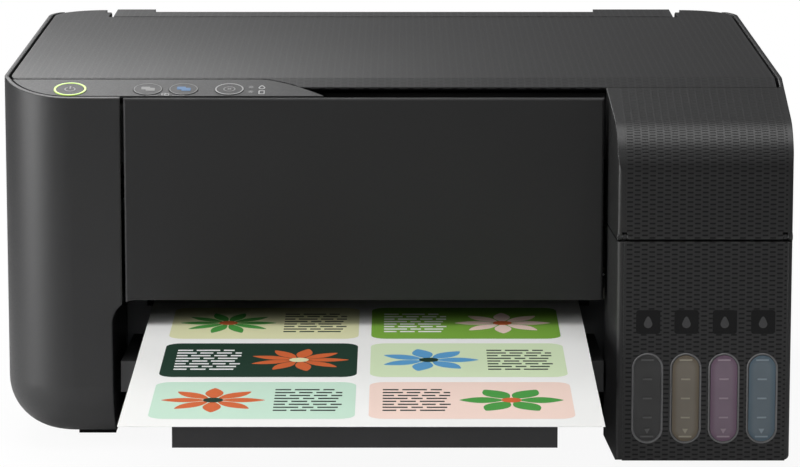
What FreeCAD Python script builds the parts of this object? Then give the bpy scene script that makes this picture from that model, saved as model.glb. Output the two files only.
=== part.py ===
import FreeCAD, Part
import math
import operator
import os
from types import SimpleNamespace

import Sketcher

# An A4 ink-tank printer, scanner and copier. X runs to the right, Y to the back and Z up.
# The origin is on the table, under the middle of the printer with its output tray drawn out.

# Driving dimensions in millimetres, degrees and counts
DRIVING = {
    "overall_width": 375, "body_depth": 347, "overall_height": 179,
    "tank_step": 41.5, "tray_reach": 202,
    "wall": 2, "gap": 0.3, "rim_gap": 1.5,
    "case_bottom": 5.8, "case_edge_radius": 26,
    "front_corner_radius": 34, "rear_corner_radius": 30,
    "slope_angle": 15, "slope_start": 24.5,
    "left_block_right": -129.7, "panel_right": 101, "panel_edge": 1.2,
    "exit_left": -134.5, "exit_right": 104, "exit_height": 74.7, "exit_radius": 11.5,
    "tank_left": 105.5, "tank_draft": 1.5, "tank_back": 12.7, "tank_bottom": 5.5, "tank_seam": 110.5,
    "tank_nose_radius": 24, "tank_pitch": 18, "tank_first": 120.2,
    "window_width": 13.2, "window_low": 14.6, "window_high": 56.6,
    "deck_height": 106.5, "cover_barrel": 2, "cover_pin": 0.9,
    "lid_thickness": 6.7, "lid_rear": 269.6, "ear_inside": 154.5,
    "hinge_back": 300, "hinge_height": 174.8, "knuckle_radius": 2.6, "hinge_pin": 1.5,
    "scanner_bottom": 140, "scanner_front": 8, "scanner_back": 266, "recess_depth": 22.5,
    "glass_length": 306, "glass_width": 224, "glass_thickness": 3, "glass_middle": -10,
    "panel_end": -33, "panel_curve_start": -63, "panel_front": 2.8, "panel_back": 22.4,
    "button_line": 10.6, "button_radius": 7, "ring_radius": 7.75, "button_proud": 0.2, "ring_proud": 0.3,
    "paper_width": 210, "paper_length": 297, "paper_middle": -13, "paper_thickness": 0.15,
    "paper_front_height": 58.3, "paper_slope": 1,
    "tray_slope": 3.5, "lip_width": 166, "lip_middle": -11.5, "lip_height": 9,
    "hopper_lean": 18, "hopper_back": 292, "support_half": 152,
    "feed_back": 172, "exit_back": 104, "roller_height": 58, "roller_radius": 6, "shaft_radius": 3,
    "gear_module": 1, "gear_teeth": 36, "idler_teeth": 32, "pinion_teeth": 12, "gear_width": 6,
    "gear_left": -158, "pinion_angle": 30, "running_gap": 0.05,
    "carriage_width": 60, "carriage_home": 130, "carriage_front": 112, "carriage_depth": 48,
    "carriage_bottom": 70, "carriage_top": 118,
    "rail_back": 168, "rail_height": 100, "rail_radius": 4, "rail_half": 166,
    "belt_height": 112, "pulley_radius": 5, "pulley_half_span": 152, "belt_width": 4,
    "frame_back": 180, "frame_sheet": 1.5,
}

doc = FreeCAD.newDocument("ink_tank_printer")
sheet = doc.addObject("Spreadsheet::Sheet", "Dims")
for row, (word, amount) in enumerate(DRIVING.items(), start=1):
    sheet.set(f"A{row}", word)
    sheet.set(f"B{row}", str(amount))
    sheet.setAlias(f"B{row}", word)
doc.recompute()

NODES = {}
PLACES = {}
OPERATIONS = {"+": operator.add, "-": operator.sub, "*": operator.mul, "/": operator.truediv}


class Size:
    """A length or angle that knows its value and the sheet expression it comes from."""

    def __init__(self, value, text):
        self.value = value
        self.text = text

    def joined(self, mark, other, swapped=False):
        first, second = (sized(other), self) if swapped else (self, sized(other))
        value = OPERATIONS[mark](first.value, second.value)
        return Size(value, f"({first.text} {mark} {second.text})")

    def __add__(self, other):
        return self.joined("+", other)

    def __radd__(self, other):
        return self.joined("+", other, True)

    def __sub__(self, other):
        return self.joined("-", other)

    def __rsub__(self, other):
        return self.joined("-", other, True)

    def __mul__(self, other):
        return self.joined("*", other)

    def __rmul__(self, other):
        return self.joined("*", other, True)

    def __truediv__(self, other):
        return self.joined("/", other)

    def __neg__(self):
        return self.joined("-", 0, True)


def sized(thing):
    return thing if isinstance(thing, Size) else Size(float(thing), f"({float(thing)})")


def sine(angle):
    return Size(math.sin(math.radians(angle.value)), f"sin({angle.text})")


def cosine(angle):
    return Size(math.cos(math.radians(angle.value)), f"cos({angle.text})")


d = SimpleNamespace(**{word: Size(float(value), f"Dims.{word}") for word, value in DRIVING.items()})

# Places that many pieces share
half = d.overall_width / 2
total_depth = d.tray_reach + d.body_depth - d.tank_step
front = d.tray_reach - total_depth / 2
rear = total_depth / 2
tank_face = front - d.tank_step
top = d.overall_height
hinge_y = front + d.hinge_back
lid_half = half - d.wall - d.rim_gap
lid_bottom = top - d.lid_thickness
barrel_y = tank_face + d.cover_barrel
barrel_z = d.tank_seam + d.gap + d.cover_barrel
slope_rise = sine(d.slope_angle) / cosine(d.slope_angle)


def behind(distance):
    """The Y of a place that far behind the front panel's face."""
    return front + distance


def slope_height(distance):
    """The Z of the sloping top band at that distance behind the front panel's face."""
    return top - (d.slope_start - distance) * slope_rise


def bind(thing, name, size):
    thing.setExpression(name, sized(size).text)


def place(thing, x, y, z):
    PLACES[thing.Name] = (x, y, z)
    for axis, size in zip("xyz", (x, y, z)):
        bind(thing, f"Placement.Base.{axis}", size)
    return thing


def tilt(thing, angle, y, z, back_up=False):
    """Lean a piece about the X direction through (y, z): its top goes to the back, or to the front."""
    x0, y0, z0 = PLACES.get(thing.Name, (0, 0, 0))
    side = 1 if back_up else -1
    turn = FreeCAD.Rotation(FreeCAD.Vector(side, 0, 0), angle.value)
    thing.Placement = FreeCAD.Placement(FreeCAD.Vector(), turn)
    bind(thing, "Placement.Rotation.Angle", angle)
    out, up = y0 - y, z0 - z
    new_y = y + out * cosine(angle) - side * up * sine(angle)
    new_z = z + side * out * sine(angle) + up * cosine(angle)
    return place(thing, x0, new_y, new_z)


def block(x, y, z):
    """A box from its low and high places along X, Y and Z."""
    box = doc.addObject("Part::Box", "Block")
    for name, (low, high) in zip(("Length", "Width", "Height"), (x, y, z)):
        bind(box, name, high - low)
    return place(box, x[0], y[0], z[0])


TURNS = {
    "x": FreeCAD.Rotation(FreeCAD.Vector(0, 1, 0), 90),
    "y": FreeCAD.Rotation(FreeCAD.Vector(1, 0, 0), -90),
    "z": FreeCAD.Rotation(),
}


def rod(axis, radius, ends, at):
    """A round bar along an axis, between two ends, through the place on the other two axes."""
    bar = doc.addObject("Part::Cylinder", "Rod")
    bind(bar, "Radius", radius)
    bind(bar, "Height", ends[1] - ends[0])
    bar.Placement = FreeCAD.Placement(FreeCAD.Vector(), TURNS[axis])
    others = iter(at)
    return place(bar, *[ends[0] if letter == axis else next(others) for letter in "xyz"])


def fuse(*pieces):
    result = doc.addObject("Part::MultiFuse", "Fuse")
    result.Shapes = list(pieces)
    return result


def cut(base, *tools):
    result = doc.addObject("Part::Cut", "Cut")
    result.Base = base
    result.Tool = tools[0] if len(tools) == 1 else fuse(*tools)
    return result


def group(*pieces):
    result = doc.addObject("Part::Compound", "Group")
    result.Links = list(pieces)
    return result


def node(name, piece):
    piece.Label = name
    NODES[name] = piece
    return piece


def origin_feature(body, role):
    return [feature for feature in body.Origin.OriginFeatures if feature.Role == role][0]


def outline(body, plane, points):
    """A sketch on one of the body's planes whose corners are all held by the sheet."""
    sketch = body.newObject("Sketcher::SketchObject", "Outline")
    sketch.AttachmentSupport = [(origin_feature(body, f"{plane}_Plane"), "")]
    sketch.MapMode = "FlatFace"
    points = [(sized(a), sized(b)) for a, b in points]
    corners = [FreeCAD.Vector(a.value, b.value, 0) for a, b in points]
    for start, end in zip(corners, corners[1:] + corners[:1]):
        sketch.addGeometry(Part.LineSegment(start, end), False)
    for index, point in enumerate(points):
        following = (index + 1) % len(points)
        sketch.addConstraint(Sketcher.Constraint("Coincident", index, 2, following, 1))
        for kind, size in zip(("DistanceX", "DistanceY"), point):
            number = sketch.addConstraint(Sketcher.Constraint(kind, -1, 1, index, 1, size.value))
            name = f"corner{index}{kind[-1]}"
            sketch.renameConstraint(number, name)
            sketch.setExpression(f"Constraints.{name}", size.text)
    return sketch


def prism(plane, points, ends):
    """A straight solid: an outline on a plane, padded between two places along the third axis."""
    body = doc.addObject("PartDesign::Body", "Prism")
    pad = body.newObject("PartDesign::Pad", "Pad")
    pad.Profile = outline(body, plane, points)
    pad.Reversed = plane == "XZ"
    bind(pad, "Length", ends[1] - ends[0])
    low = {"YZ": (ends[0], 0, 0), "XZ": (0, ends[0], 0), "XY": (0, 0, ends[0])}[plane]
    body.Tip = pad
    return place(body, *low)


def lies_at(edge, where):
    """Whether every end of an edge lies at the given coordinates."""
    near = 0.02
    return all(
        abs(getattr(vertex.Point, axis) - sized(size).value) < near
        for vertex in edge.Vertexes
        for axis, size in where.items()
    )


def rounded(body, radius, *places):
    """Round the edges of a body that lie at any of the given places in its own frame."""
    doc.recompute()
    base = body.Tip
    names = [
        f"Edge{index}"
        for index, edge in enumerate(base.Shape.Edges, start=1)
        if any(lies_at(edge, where) for where in places)
    ]
    fillet = body.newObject("PartDesign::Fillet", "Round")
    fillet.Base = (base, names)
    bind(fillet, "Radius", radius)
    body.Tip = fillet
    return body


def box_outline(a, b):
    """The four corners of a rectangle from its low and high places on two axes."""
    return [(a[0], b[0]), (a[1], b[0]), (a[1], b[1]), (a[0], b[1])]


def plan(inset, ends, bottom_radius=None):
    """The case's plan, drawn in from its walls by an inset, with its rounded corners."""
    left, right = inset - half, half - inset
    near, far = front + inset, rear - inset
    body = prism("XY", box_outline((left, right), (near, far)), ends)
    rounded(body, d.front_corner_radius - inset, {"x": left, "y": near})
    rounded(body, d.rear_corner_radius - inset, {"x": left, "y": far}, {"x": right, "y": far})
    if bottom_radius is not None:
        rounded(body, bottom_radius, {"z": 0})
    return body


def common(first, second):
    """What two pieces both fill."""
    result = doc.addObject("Part::Common", "Common")
    result.Base = first
    result.Tool = second
    return result


# A place well in front of the printer, where cuts through its front start
front_clear = 60
outside_front = behind(-front_clear)
reach = 20


def above_slope():
    """Everything above the sloping band at the top front."""
    points = [
        (outside_front, slope_height(-front_clear)),
        (behind(d.slope_start), top),
        (behind(d.slope_start), top + reach),
        (outside_front, top + reach),
    ]
    return prism("YZ", points, (-d.overall_width, d.overall_width))


def exit_space(depth):
    """The paper exit's mouth, with its rounded upper left corner."""
    points = box_outline((d.exit_left, d.exit_right), (-reach, d.exit_height))
    body = prism("XZ", points, (outside_front, behind(depth)))
    return rounded(body, d.exit_radius, {"x": d.exit_left, "z": d.exit_height})


# Plates of the base that carry the rollers, and the star wheels' shaft in them
PLATES = ((-148, -145), (116, 119))
star_height = d.roller_height + 9.7
star_shaft = 1.2
bush_outside = d.shaft_radius + 1.5
floor_top = d.case_bottom + 2.5

# Holes that sockets and screws share with the rear wall
socket_usb = ((-146.0, -134.0), (40.0, 51.0))
socket_power = ((118.0, 140.0), (24.0, 36.0))
screw_spots = [(-150.0, 60.0), (150.0, 60.0), (-150.0, 130.0), (150.0, 130.0)]
knuckle_inside, knuckle_outside = 154.9, 157.2
screw_head = 3.1


def sided(side, low, high):
    """A range along X on the right side, or its mirror image on the left."""
    return (low, high) if side > 0 else (-high, -low)


def hinge_bracket(side):
    """A bracket on the rear wall that holds one end of a hinge pin."""
    width = sided(side, knuckle_inside, knuckle_outside)
    stem = block(width, (hinge_y - d.knuckle_radius, rear - d.wall / 2), (150, d.hinge_height))
    barrel = rod("x", d.knuckle_radius, width, (hinge_y, d.hinge_height))
    bore = rod("x", d.hinge_pin, width, (hinge_y, d.hinge_height))
    return cut(fuse(stem, barrel), bore)


def make_outer_case():
    throat_depth = 96
    rear_wall_top = 168
    slot_start = 292
    strip_half, strip_top = 150, top - 4.2
    floor_side, floor_front, floor_rear = 161.5, 30, 279.5
    tank_room = d.tank_back + 0.7
    outer = plan(0, (d.case_bottom, top), d.case_edge_radius)
    inner = plan(d.wall, (d.case_bottom + d.wall, top + reach), d.case_edge_radius - d.wall)
    wall_ends = (rear - d.wall * 2, rear + d.wall)
    through = (-reach, top + reach)
    wide = (-d.overall_width, d.overall_width)
    tools = [
        inner,
        block(
            (d.tank_left - d.tank_draft * 2, d.overall_width), (outside_front, behind(tank_room)), through,
        ),
        block((d.left_block_right, d.tank_left), (outside_front, behind(floor_front)), through),
        exit_space(throat_depth),
        above_slope(),
        block(wide, (behind(slot_start), rear + reach), (rear_wall_top, top + reach)),
        block(
            (-floor_side, floor_side), (behind(floor_front), behind(floor_rear)),
            (-reach, d.case_bottom + d.wall * 2),
        ),
        block(socket_usb[0], wall_ends, socket_usb[1]),
        block(socket_power[0], wall_ends, socket_power[1]),
    ]
    tools += [rod("y", screw_head + 0.1, wall_ends, spot) for spot in screw_spots]
    throat_walls = block(
        (d.exit_left - d.wall, d.left_block_right), (behind(1), behind(throat_depth)),
        (d.case_bottom + d.wall * 1.4, d.exit_height + d.wall),
    )
    throat = cut(common(throat_walls, outer), exit_space(throat_depth + reach))
    strip = block((-strip_half, strip_half), (rear - d.wall, rear), (rear_wall_top - 1, strip_top))
    brackets = [hinge_bracket(side) for side in (-1, 1)]
    node("outer_case", fuse(cut(outer, *tools), throat, strip, *brackets))


def make_front_panel():
    width = (d.left_block_right + d.rim_gap, d.panel_right)
    thickness = 2.5
    low = 60
    ceiling_back = 95
    shelf_x = (d.panel_end + 3, d.panel_right)
    shelf_back, shelf_height = d.recess_depth - 3.5, 150
    high = slope_height(0)
    face = prism("XY", box_outline(width, (front, behind(thickness))), (low, high))
    sides = [{"x": x, "y": front} for x in width]
    rounded(face, d.panel_edge, {"y": front, "z": high - low}, *sides)
    inner = behind(thickness / 2)
    ceiling = block(width, (inner, behind(ceiling_back)), (low, d.exit_height + d.wall))
    shelf = block(shelf_x, (inner, behind(shelf_back)), (shelf_height, shelf_height + d.wall))
    node("front_panel", cut(fuse(face, ceiling, shelf), exit_space(ceiling_back + reach)))


def make_base():
    plate_half = 161.2
    front_edge, back_edge = 30.3, 279.2
    sink = 0.5
    plate_front, plate_back = 95, 179.5
    lug_front, lug_back = 98, 110
    lug_top, plate_top = 72, 64
    pieces = [block(
        (-plate_half, plate_half), (behind(front_edge), behind(back_edge)), (d.case_bottom, floor_top),
    )]
    holes = []
    for x in PLATES:
        pieces.append(block(x, (behind(plate_front), behind(plate_back)), (floor_top - sink, plate_top)))
        pieces.append(block(x, (behind(lug_front), behind(lug_back)), (plate_top - sink, lug_top)))
        for at in (feed_at, exit_at):
            holes.append(rod("x", bush_outside, x, at))
        holes.append(rod("x", star_shaft + d.running_gap, x, (exit_at[0], star_height)))
    pieces.append(rod("x", d.shaft_radius, (d.gear_left - 2, PLATES[0][0] + 1), idler_at))
    rib_thick, rib_top = 3, 21
    for x in (-100, 70):
        pieces.append(block(
            (x, x + rib_thick), (behind(front_edge), behind(plate_front)), (floor_top - sink, rib_top),
        ))
    node("base_case", cut(fuse(*pieces), *holes))


def make_feet_and_screws():
    foot_radius = 8.5
    left, right = -143.5, 143.5
    near_left, near_right, far = 62, 2, 268
    spots = [(left, near_left), (right, near_right), (left, far), (right, far)]
    feet = []
    for x, back in spots:
        height = d.tank_bottom if (x, back) == (right, near_right) else d.case_bottom
        feet.append(rod("z", foot_radius, (0, height), (x, behind(back))))
    skid_x, skid_y = (-153, -135), (behind(22), behind(40))
    skid_thick = 1.3
    feet.append(block(skid_x, skid_y, (d.case_bottom - skid_thick, d.case_bottom)))
    node("rubber_feet", group(*feet))
    shank, head = 1.5, 1.6
    screws = []
    for spot in screw_spots:
        cap = rod("y", screw_head, (rear - 0.2 - head, rear - 0.2), spot)
        stem = rod("y", shank, (rear - 10, rear - head), spot)
        screws.append(fuse(cap, stem))
    node("housing_screws", group(*screws))


def tank_plan(inset, ends, beyond=0):
    """The tank block's plan, whose left wall widens a little towards the back."""
    near, far = tank_face + inset, behind(d.tank_back) - inset + beyond
    left, right = d.tank_left + inset, half - inset
    points = [(left, near), (right, near), (right, far), (left - d.tank_draft * 2, far)]
    return prism("XY", points, ends)


def stadium(x, width, y):
    """An upright bar with round ends through the tank front, centred on x."""
    radius = width / 2
    low = d.window_low + d.window_width / 2
    high = d.window_high - d.window_width / 2
    return fuse(
        block((x - radius, x + radius), y, (low, high)),
        rod("y", radius, y, (x, low)),
        rod("y", radius, y, (x, high)),
    )


TANKS = ("black", "yellow", "magenta", "cyan")
tank_places = [d.tank_first + d.tank_pitch * index for index in range(len(TANKS))]
neck_y = behind(-22)
neck_radius, neck_bore = 5, 3.5
neck_top = d.deck_height + 2
cap_hinge_y, cap_hinge_z = behind(-8), d.deck_height + 3.7
cap_axle, cap_lug = 1.5, 2.4
plate_x = (d.tank_left + 3, half - 2.2)
plate_z = (d.tank_bottom, d.tank_seam)
ear_width = 2
left_ear = (d.tank_left + d.wall + 0.4, d.tank_left + d.wall + 0.4 + ear_width)
right_ear = (half - d.wall - 0.4 - ear_width, half - d.wall - 0.4)


def make_tank_housing():
    deck = 2.5
    edge = 2.5
    shell = tank_plan(0, (d.tank_bottom, d.tank_seam))
    rounded(shell, edge, {"x": half, "z": 0})
    rounded(shell, d.wall, {"x": d.tank_left, "y": tank_face}, {"x": half, "y": tank_face})
    clear = 0.2
    tools = [
        tank_plan(d.wall, (d.tank_bottom + d.wall, d.deck_height - deck)),
        tank_plan(d.wall, (d.deck_height, d.tank_seam + 5)),
        block(plate_x, (tank_face - 1, tank_face + d.wall), (plate_z[0] - 1, plate_z[1] + 1)),
    ]
    deck_ends = (d.deck_height - deck - 1, d.deck_height + 1)
    tools += [rod("z", neck_radius + clear, deck_ends, (x, neck_y)) for x in tank_places]
    pieces = [cut(shell, *tools)]
    for x in (left_ear, right_ear):
        ear_y = (tank_face + d.wall + d.gap, barrel_y + d.cover_barrel)
        ear = block(x, ear_y, (d.deck_height - 1, barrel_z))
        pieces.append(cut(
            fuse(ear, rod("x", d.cover_barrel - 0.2, x, (barrel_y, barrel_z))),
            rod("x", d.cover_pin, x, (barrel_y, barrel_z)),
        ))
    lug_inside, lug_outside = 5, 6.8
    for middle in tank_places:
        for side in (-1, 1):
            low, high = sided(side, lug_inside, lug_outside)
            x = (middle + low, middle + high)
            lug_y = (cap_hinge_y - cap_lug, cap_hinge_y + cap_lug)
            stem = block(x, lug_y, (d.deck_height - 0.5, cap_hinge_z))
            eye = rod("x", cap_lug, x, (cap_hinge_y, cap_hinge_z))
            bore = rod("x", cap_axle + d.running_gap, x, (cap_hinge_y, cap_hinge_z))
            pieces.append(cut(fuse(stem, eye), bore))
    node("tank_housing", fuse(*pieces))


def make_tank_front_plate():
    y = (tank_face, tank_face + d.wall)
    plate = block(plate_x, y, plate_z)
    windows = [stadium(x, d.window_width, (y[0] - 1, y[1] + 1)) for x in tank_places]
    node("tank_front_plate", cut(plate, *windows))


def make_ink_tank(name, x):
    wall = 1.5
    half_width = d.tank_pitch / 2 - 0.8
    near, far = tank_face + d.wall + 0.5, behind(d.tank_back) - d.wall - 0.5
    low, high = 12, 100
    body = block((x - half_width, x + half_width), (near, far), (low, high))
    boss = stadium(x, d.window_width - d.gap, (tank_face + 0.4, near + 0.5))
    neck = rod("z", neck_radius, (high - 0.5, neck_top), (x, neck_y))
    hollow = block(
        (x - half_width + wall, x + half_width - wall), (near + wall, far - wall),
        (low + wall, high - wall),
    )
    bore = rod("z", neck_bore, (high - wall * 2, neck_top + 1), (x, neck_y))
    node(f"ink_tank_{name}", cut(fuse(body, boss, neck), hollow, bore))


def make_ink_cap(name, x):
    plate_low, plate_high = neck_top + 0.4, neck_top + 3.5
    plug_radius, plug_length = 2.2, 3
    wide, narrow = 6.5, 4.6
    neck_front = neck_y - 7
    plate = block((x - wide, x + wide), (neck_front, cap_hinge_y - 6), (plate_low, plate_high))
    strap = block((x - narrow, x + narrow), (cap_hinge_y - 7, cap_hinge_y), (plate_low, plate_high))
    knuckle = rod("x", cap_lug - 0.2, (x - narrow, x + narrow), (cap_hinge_y, cap_hinge_z))
    axle_end = 6.8
    axle = rod("x", cap_axle, (x - axle_end, x + axle_end), (cap_hinge_y, cap_hinge_z))
    plug = rod("z", plug_radius, (plate_low - plug_length, plate_low + 0.5), (x, neck_y))
    node(f"ink_cap_{name}", fuse(plate, strap, knuckle, axle, plug))


def cover_outline(inset, back, bottom):
    """The tank cover's side outline, drawn in from its outside by an inset."""
    near = tank_face + inset
    return [
        (near, bottom),
        (near, slope_height(-d.tank_step) - inset),
        (behind(back), slope_height(back) - inset),
        (behind(back), bottom),
    ]


def make_tank_cover():
    border = 2
    low = barrel_z - d.cover_barrel + 0.7
    nose = slope_height(-d.tank_step)
    width = (d.tank_left - d.tank_draft * 2, half)
    profile = prism("YZ", cover_outline(0, d.tank_back, barrel_z), width)
    rounded(profile, d.tank_nose_radius, {"y": tank_face, "z": nose})
    around = tank_plan(0, (barrel_z - 1, top + 1))
    rounded(around, border, {"x": d.tank_left, "y": tank_face}, {"x": half, "y": tank_face})
    outside = common(profile, around)
    sides = common(
        block(width, (barrel_y, behind(d.tank_back)), (low, barrel_z + 1)),
        tank_plan(0, (low - 1, barrel_z + 2)),
    )
    beyond = 5
    room = prism("YZ", cover_outline(d.wall, d.tank_back + beyond, low - beyond), width)
    rounded(room, d.tank_nose_radius - d.wall, {"y": tank_face + d.wall, "z": nose - d.wall})
    inner = common(room, tank_plan(d.wall, (low - beyond, top + 1), d.wall + beyond))
    tools = [inner]
    ear_clear = 0.3
    for x in (left_ear, right_ear):
        wide = (x[0] - ear_clear, x[1] + ear_clear)
        tools.append(block(wide, (tank_face - 1, barrel_y + 4), (low - 2, barrel_z + d.cover_barrel + 0.2)))
    shell = cut(fuse(outside, sides), *tools)
    spans = [
        (d.tank_left, d.tank_left + d.wall),
        (left_ear[1] + ear_clear, right_ear[0] - ear_clear),
        (half - d.wall, half),
    ]
    barrels = [rod("x", d.cover_barrel, span, (barrel_y, barrel_z)) for span in spans]
    bore = rod("x", d.cover_pin + d.running_gap, (d.tank_left - 1, half + 1), (barrel_y, barrel_z))
    node("tank_cover", cut(fuse(shell, *barrels), bore))


def make_hinge_pins():
    pin_end = 166.5
    pins = []
    for side in (-1, 1):
        pins.append(rod("x", d.hinge_pin, sided(side, knuckle_inside, pin_end), (hinge_y, d.hinge_height)))
    pins.append(rod("x", d.cover_pin, (d.tank_left + 0.3, half - 0.3), (barrel_y, barrel_z)))
    node("hinge_pins", group(*pins))


# Scanner unit
glass_x = (d.glass_middle - d.glass_length / 2, d.glass_middle + d.glass_length / 2)
glass_y = (behind(28), behind(28) + d.glass_width)
frame_top = lid_bottom - 0.4
frame_bottom = frame_top - 5.6
scan_rail_y, scan_rail_z, scan_rail_radius = behind(140), d.scanner_bottom + 6, 3
scan_head_x = (-176, -158)


def scanner_tub(inset, shrink, z):
    """The scanner's plan, stepped back behind the finger recess and the tank cover."""
    near, far = behind(d.scanner_front) + shrink, behind(d.scanner_back) - shrink
    step_x, step_y = d.panel_end - shrink, behind(d.recess_depth) + shrink
    points = [(-half, near), (step_x, near), (step_x, step_y), (half, step_y), (half, far), (-half, far)]
    plan_part = plan(inset, z)
    sides = block((inset - half, half - inset), (near - 1, far + 1), (z[0] - 1, z[1] + 1))
    return common(common(prism("XY", points, z), plan_part), sides)


def make_scanner():
    arm_inside, arm_outside = 157.8, 160.4
    side_room = 4
    x_half = half - d.wall - side_room
    tub = scanner_tub(d.wall + side_room, 0, (d.scanner_bottom, frame_bottom))
    hollow = scanner_tub(d.wall * 2 + side_room, d.wall, (d.scanner_bottom + d.wall, top))
    post_x = 3
    posts = [
        block((x, x + post_x), (scan_rail_y - 5, scan_rail_y + 5), (d.scanner_bottom + 1, scan_rail_z + 5))
        for x in (-x_half + d.wall - 1, x_half - d.wall - post_x + 1)
    ]
    rail_ends = (d.wall - x_half + 0.5, x_half - d.wall - 0.5)
    rail_hole = rod("x", scan_rail_radius, rail_ends, (scan_rail_y, scan_rail_z))
    node("scanner_base", cut(fuse(cut(tub, hollow), *posts), rail_hole))
    node("scan_rail", rod("x", scan_rail_radius, rail_ends, (scan_rail_y, scan_rail_z)))

    frame = common(
        plan(d.wall + d.rim_gap + 0.4, (frame_bottom, frame_top)),
        block((-half, half), (behind(4), behind(d.scanner_back + 2)), (frame_bottom, frame_top)),
    )
    ledge = 6
    window = block(
        (glass_x[0] + ledge, glass_x[1] - ledge), (glass_y[0] + ledge, glass_y[1] - ledge),
        (frame_bottom - 1, frame_top + 1),
    )
    seat = block(glass_x, glass_y, (frame_top - d.glass_thickness, frame_top + 1))
    finger = block(
        (d.panel_end, half), (behind(-1), behind(d.recess_depth)), (frame_bottom - 1, frame_top + 1),
    )
    button_x, button_back, button_depth = (-166, -68), 19, 2.5
    button_room = block(
        button_x, (behind(-1), behind(button_back)), (frame_top - button_depth, frame_top + 1),
    )
    arms = []
    arm_half = 1.8
    for side in (-1, 1):
        x = sided(side, arm_inside, arm_outside)
        arm = block(x, (behind(d.scanner_back), hinge_y + arm_half), (frame_bottom, frame_top - 0.2))
        stem = block(x, (hinge_y - arm_half, hinge_y + arm_half), (frame_top - 1, d.hinge_height))
        eye = rod("x", d.knuckle_radius, x, (hinge_y, d.hinge_height))
        bore = rod("x", d.hinge_pin + d.running_gap, x, (hinge_y, d.hinge_height))
        arms.append(cut(fuse(arm, stem, eye), bore))
    node("scanner_top", fuse(cut(frame, window, seat, finger, button_room), *arms))
    clear = 0.2
    node("scanner_glass", block(
        (glass_x[0] + clear, glass_x[1] - clear), (glass_y[0] + clear, glass_y[1] - clear),
        (frame_top - d.glass_thickness, frame_top),
    ))


def make_scan_head():
    head_front, head_back = 34, 246
    head_high = frame_bottom - 1
    slide_low, slide_high = d.scanner_bottom + d.wall + 0.6, scan_rail_z + 5
    bar = block(scan_head_x, (behind(head_front), behind(head_back)), (slide_high - 1, head_high))
    slider_half = 9
    slider = block(
        scan_head_x, (scan_rail_y - slider_half, scan_rail_y + slider_half), (slide_low, slide_high),
    )
    bore_x = (scan_head_x[0] - 1, scan_head_x[1] + 1)
    bore = rod("x", scan_rail_radius + d.running_gap, bore_x, (scan_rail_y, scan_rail_z))
    node("scan_head", cut(fuse(bar, slider), bore))


def panel_curve(share):
    """A point of the curve in which the control panel ends, from its back edge to its front."""
    drop = share ** 1.5
    x = d.panel_curve_start + (d.panel_end - d.panel_curve_start) * share
    return x, d.panel_back + (d.panel_front + 0.5 - d.panel_back) * drop


def make_document_cover():
    left_front, right_front = d.panel_back + 0.6, d.tank_back + 0.5
    ear_notch = 157.5
    points = [(-half, behind(left_front))]
    side_gap, end_gap = 0.7, 0.6
    steps, reached = 8, 4
    for index in range(reached + 1):
        x, depth = panel_curve(index / steps)
        points.append((x + side_gap, behind(depth + end_gap)))
    corner_x = -44.5
    points += [
        (corner_x, behind(right_front)),
        (half, behind(right_front)), (half, rear), (d.ear_inside, rear), (d.ear_inside, behind(d.lid_rear)),
        (-d.ear_inside, behind(d.lid_rear)), (-d.ear_inside, rear), (-half, rear),
    ]
    sheet_body = common(
        prism("XY", points, (lid_bottom, top)),
        plan(d.wall + d.rim_gap, (lid_bottom - 1, top + 1)),
    )
    edge_thick, undercut = 1, 12
    brow = [
        (behind(right_front) - 1, slope_height(right_front) - edge_thick),
        (behind(right_front), slope_height(right_front) - edge_thick),
        (behind(right_front + undercut), lid_bottom),
        (behind(right_front + undercut), lid_bottom - 1),
        (behind(right_front) - 1, lid_bottom - 1),
    ]
    tools = [above_slope(), prism("YZ", brow, (d.panel_curve_start, half + 1))]
    room_inside, room_outside, bore_outside = 150, 160.9, 183
    room_y = (behind(291), rear)
    room_top = d.hinge_height + d.knuckle_radius + d.gap
    for side in (-1, 1):
        notch = block(sided(side, room_inside, ear_notch), room_y, (lid_bottom - 1, top + 1))
        room = block(sided(side, ear_notch - 1, room_outside), room_y, (lid_bottom - 1, room_top))
        bore_x = sided(side, room_inside, bore_outside)
        bore = rod("x", d.hinge_pin + d.running_gap, bore_x, (hinge_y, d.hinge_height))
        tools += [notch, room, bore]
    pocket_half, pocket_front, pocket_back, pocket_roof = lid_half - 14.5, 30, 262, 2.4
    tools.append(block(
        (-pocket_half, pocket_half), (behind(pocket_front), behind(pocket_back)),
        (lid_bottom - 1, top - pocket_roof),
    ))
    node("document_cover", cut(sheet_body, *tools))
    pad_inset = 2
    pad_half = pocket_half - pad_inset
    node("document_pad", block(
        (-pad_half, pad_half), (behind(pocket_front + pad_inset), behind(pocket_back - pad_inset)),
        (lid_bottom + 0.1, top - pocket_roof),
    ))


# Control panel
panel_normal_y = behind(d.button_line)
panel_surface_z = slope_height(d.button_line)
panel_bottom = frame_top + 0.2
BUTTONS = {
    "power_button": (-154.1, d.ring_radius - 1.1),
    "mono_copy_button": (-116.9, d.button_radius),
    "colour_copy_button": (-99.8, d.button_radius),
    "stop_button": (-77.9, d.button_radius),
}


def across_panel(radius, x, low, high):
    """A round bar square to the control panel's slope, between two heights over its surface."""
    bar = rod("z", radius, (panel_surface_z + low, panel_surface_z + high), (x, panel_normal_y))
    return tilt(bar, d.slope_angle, panel_normal_y, panel_surface_z, back_up=True)


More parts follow.
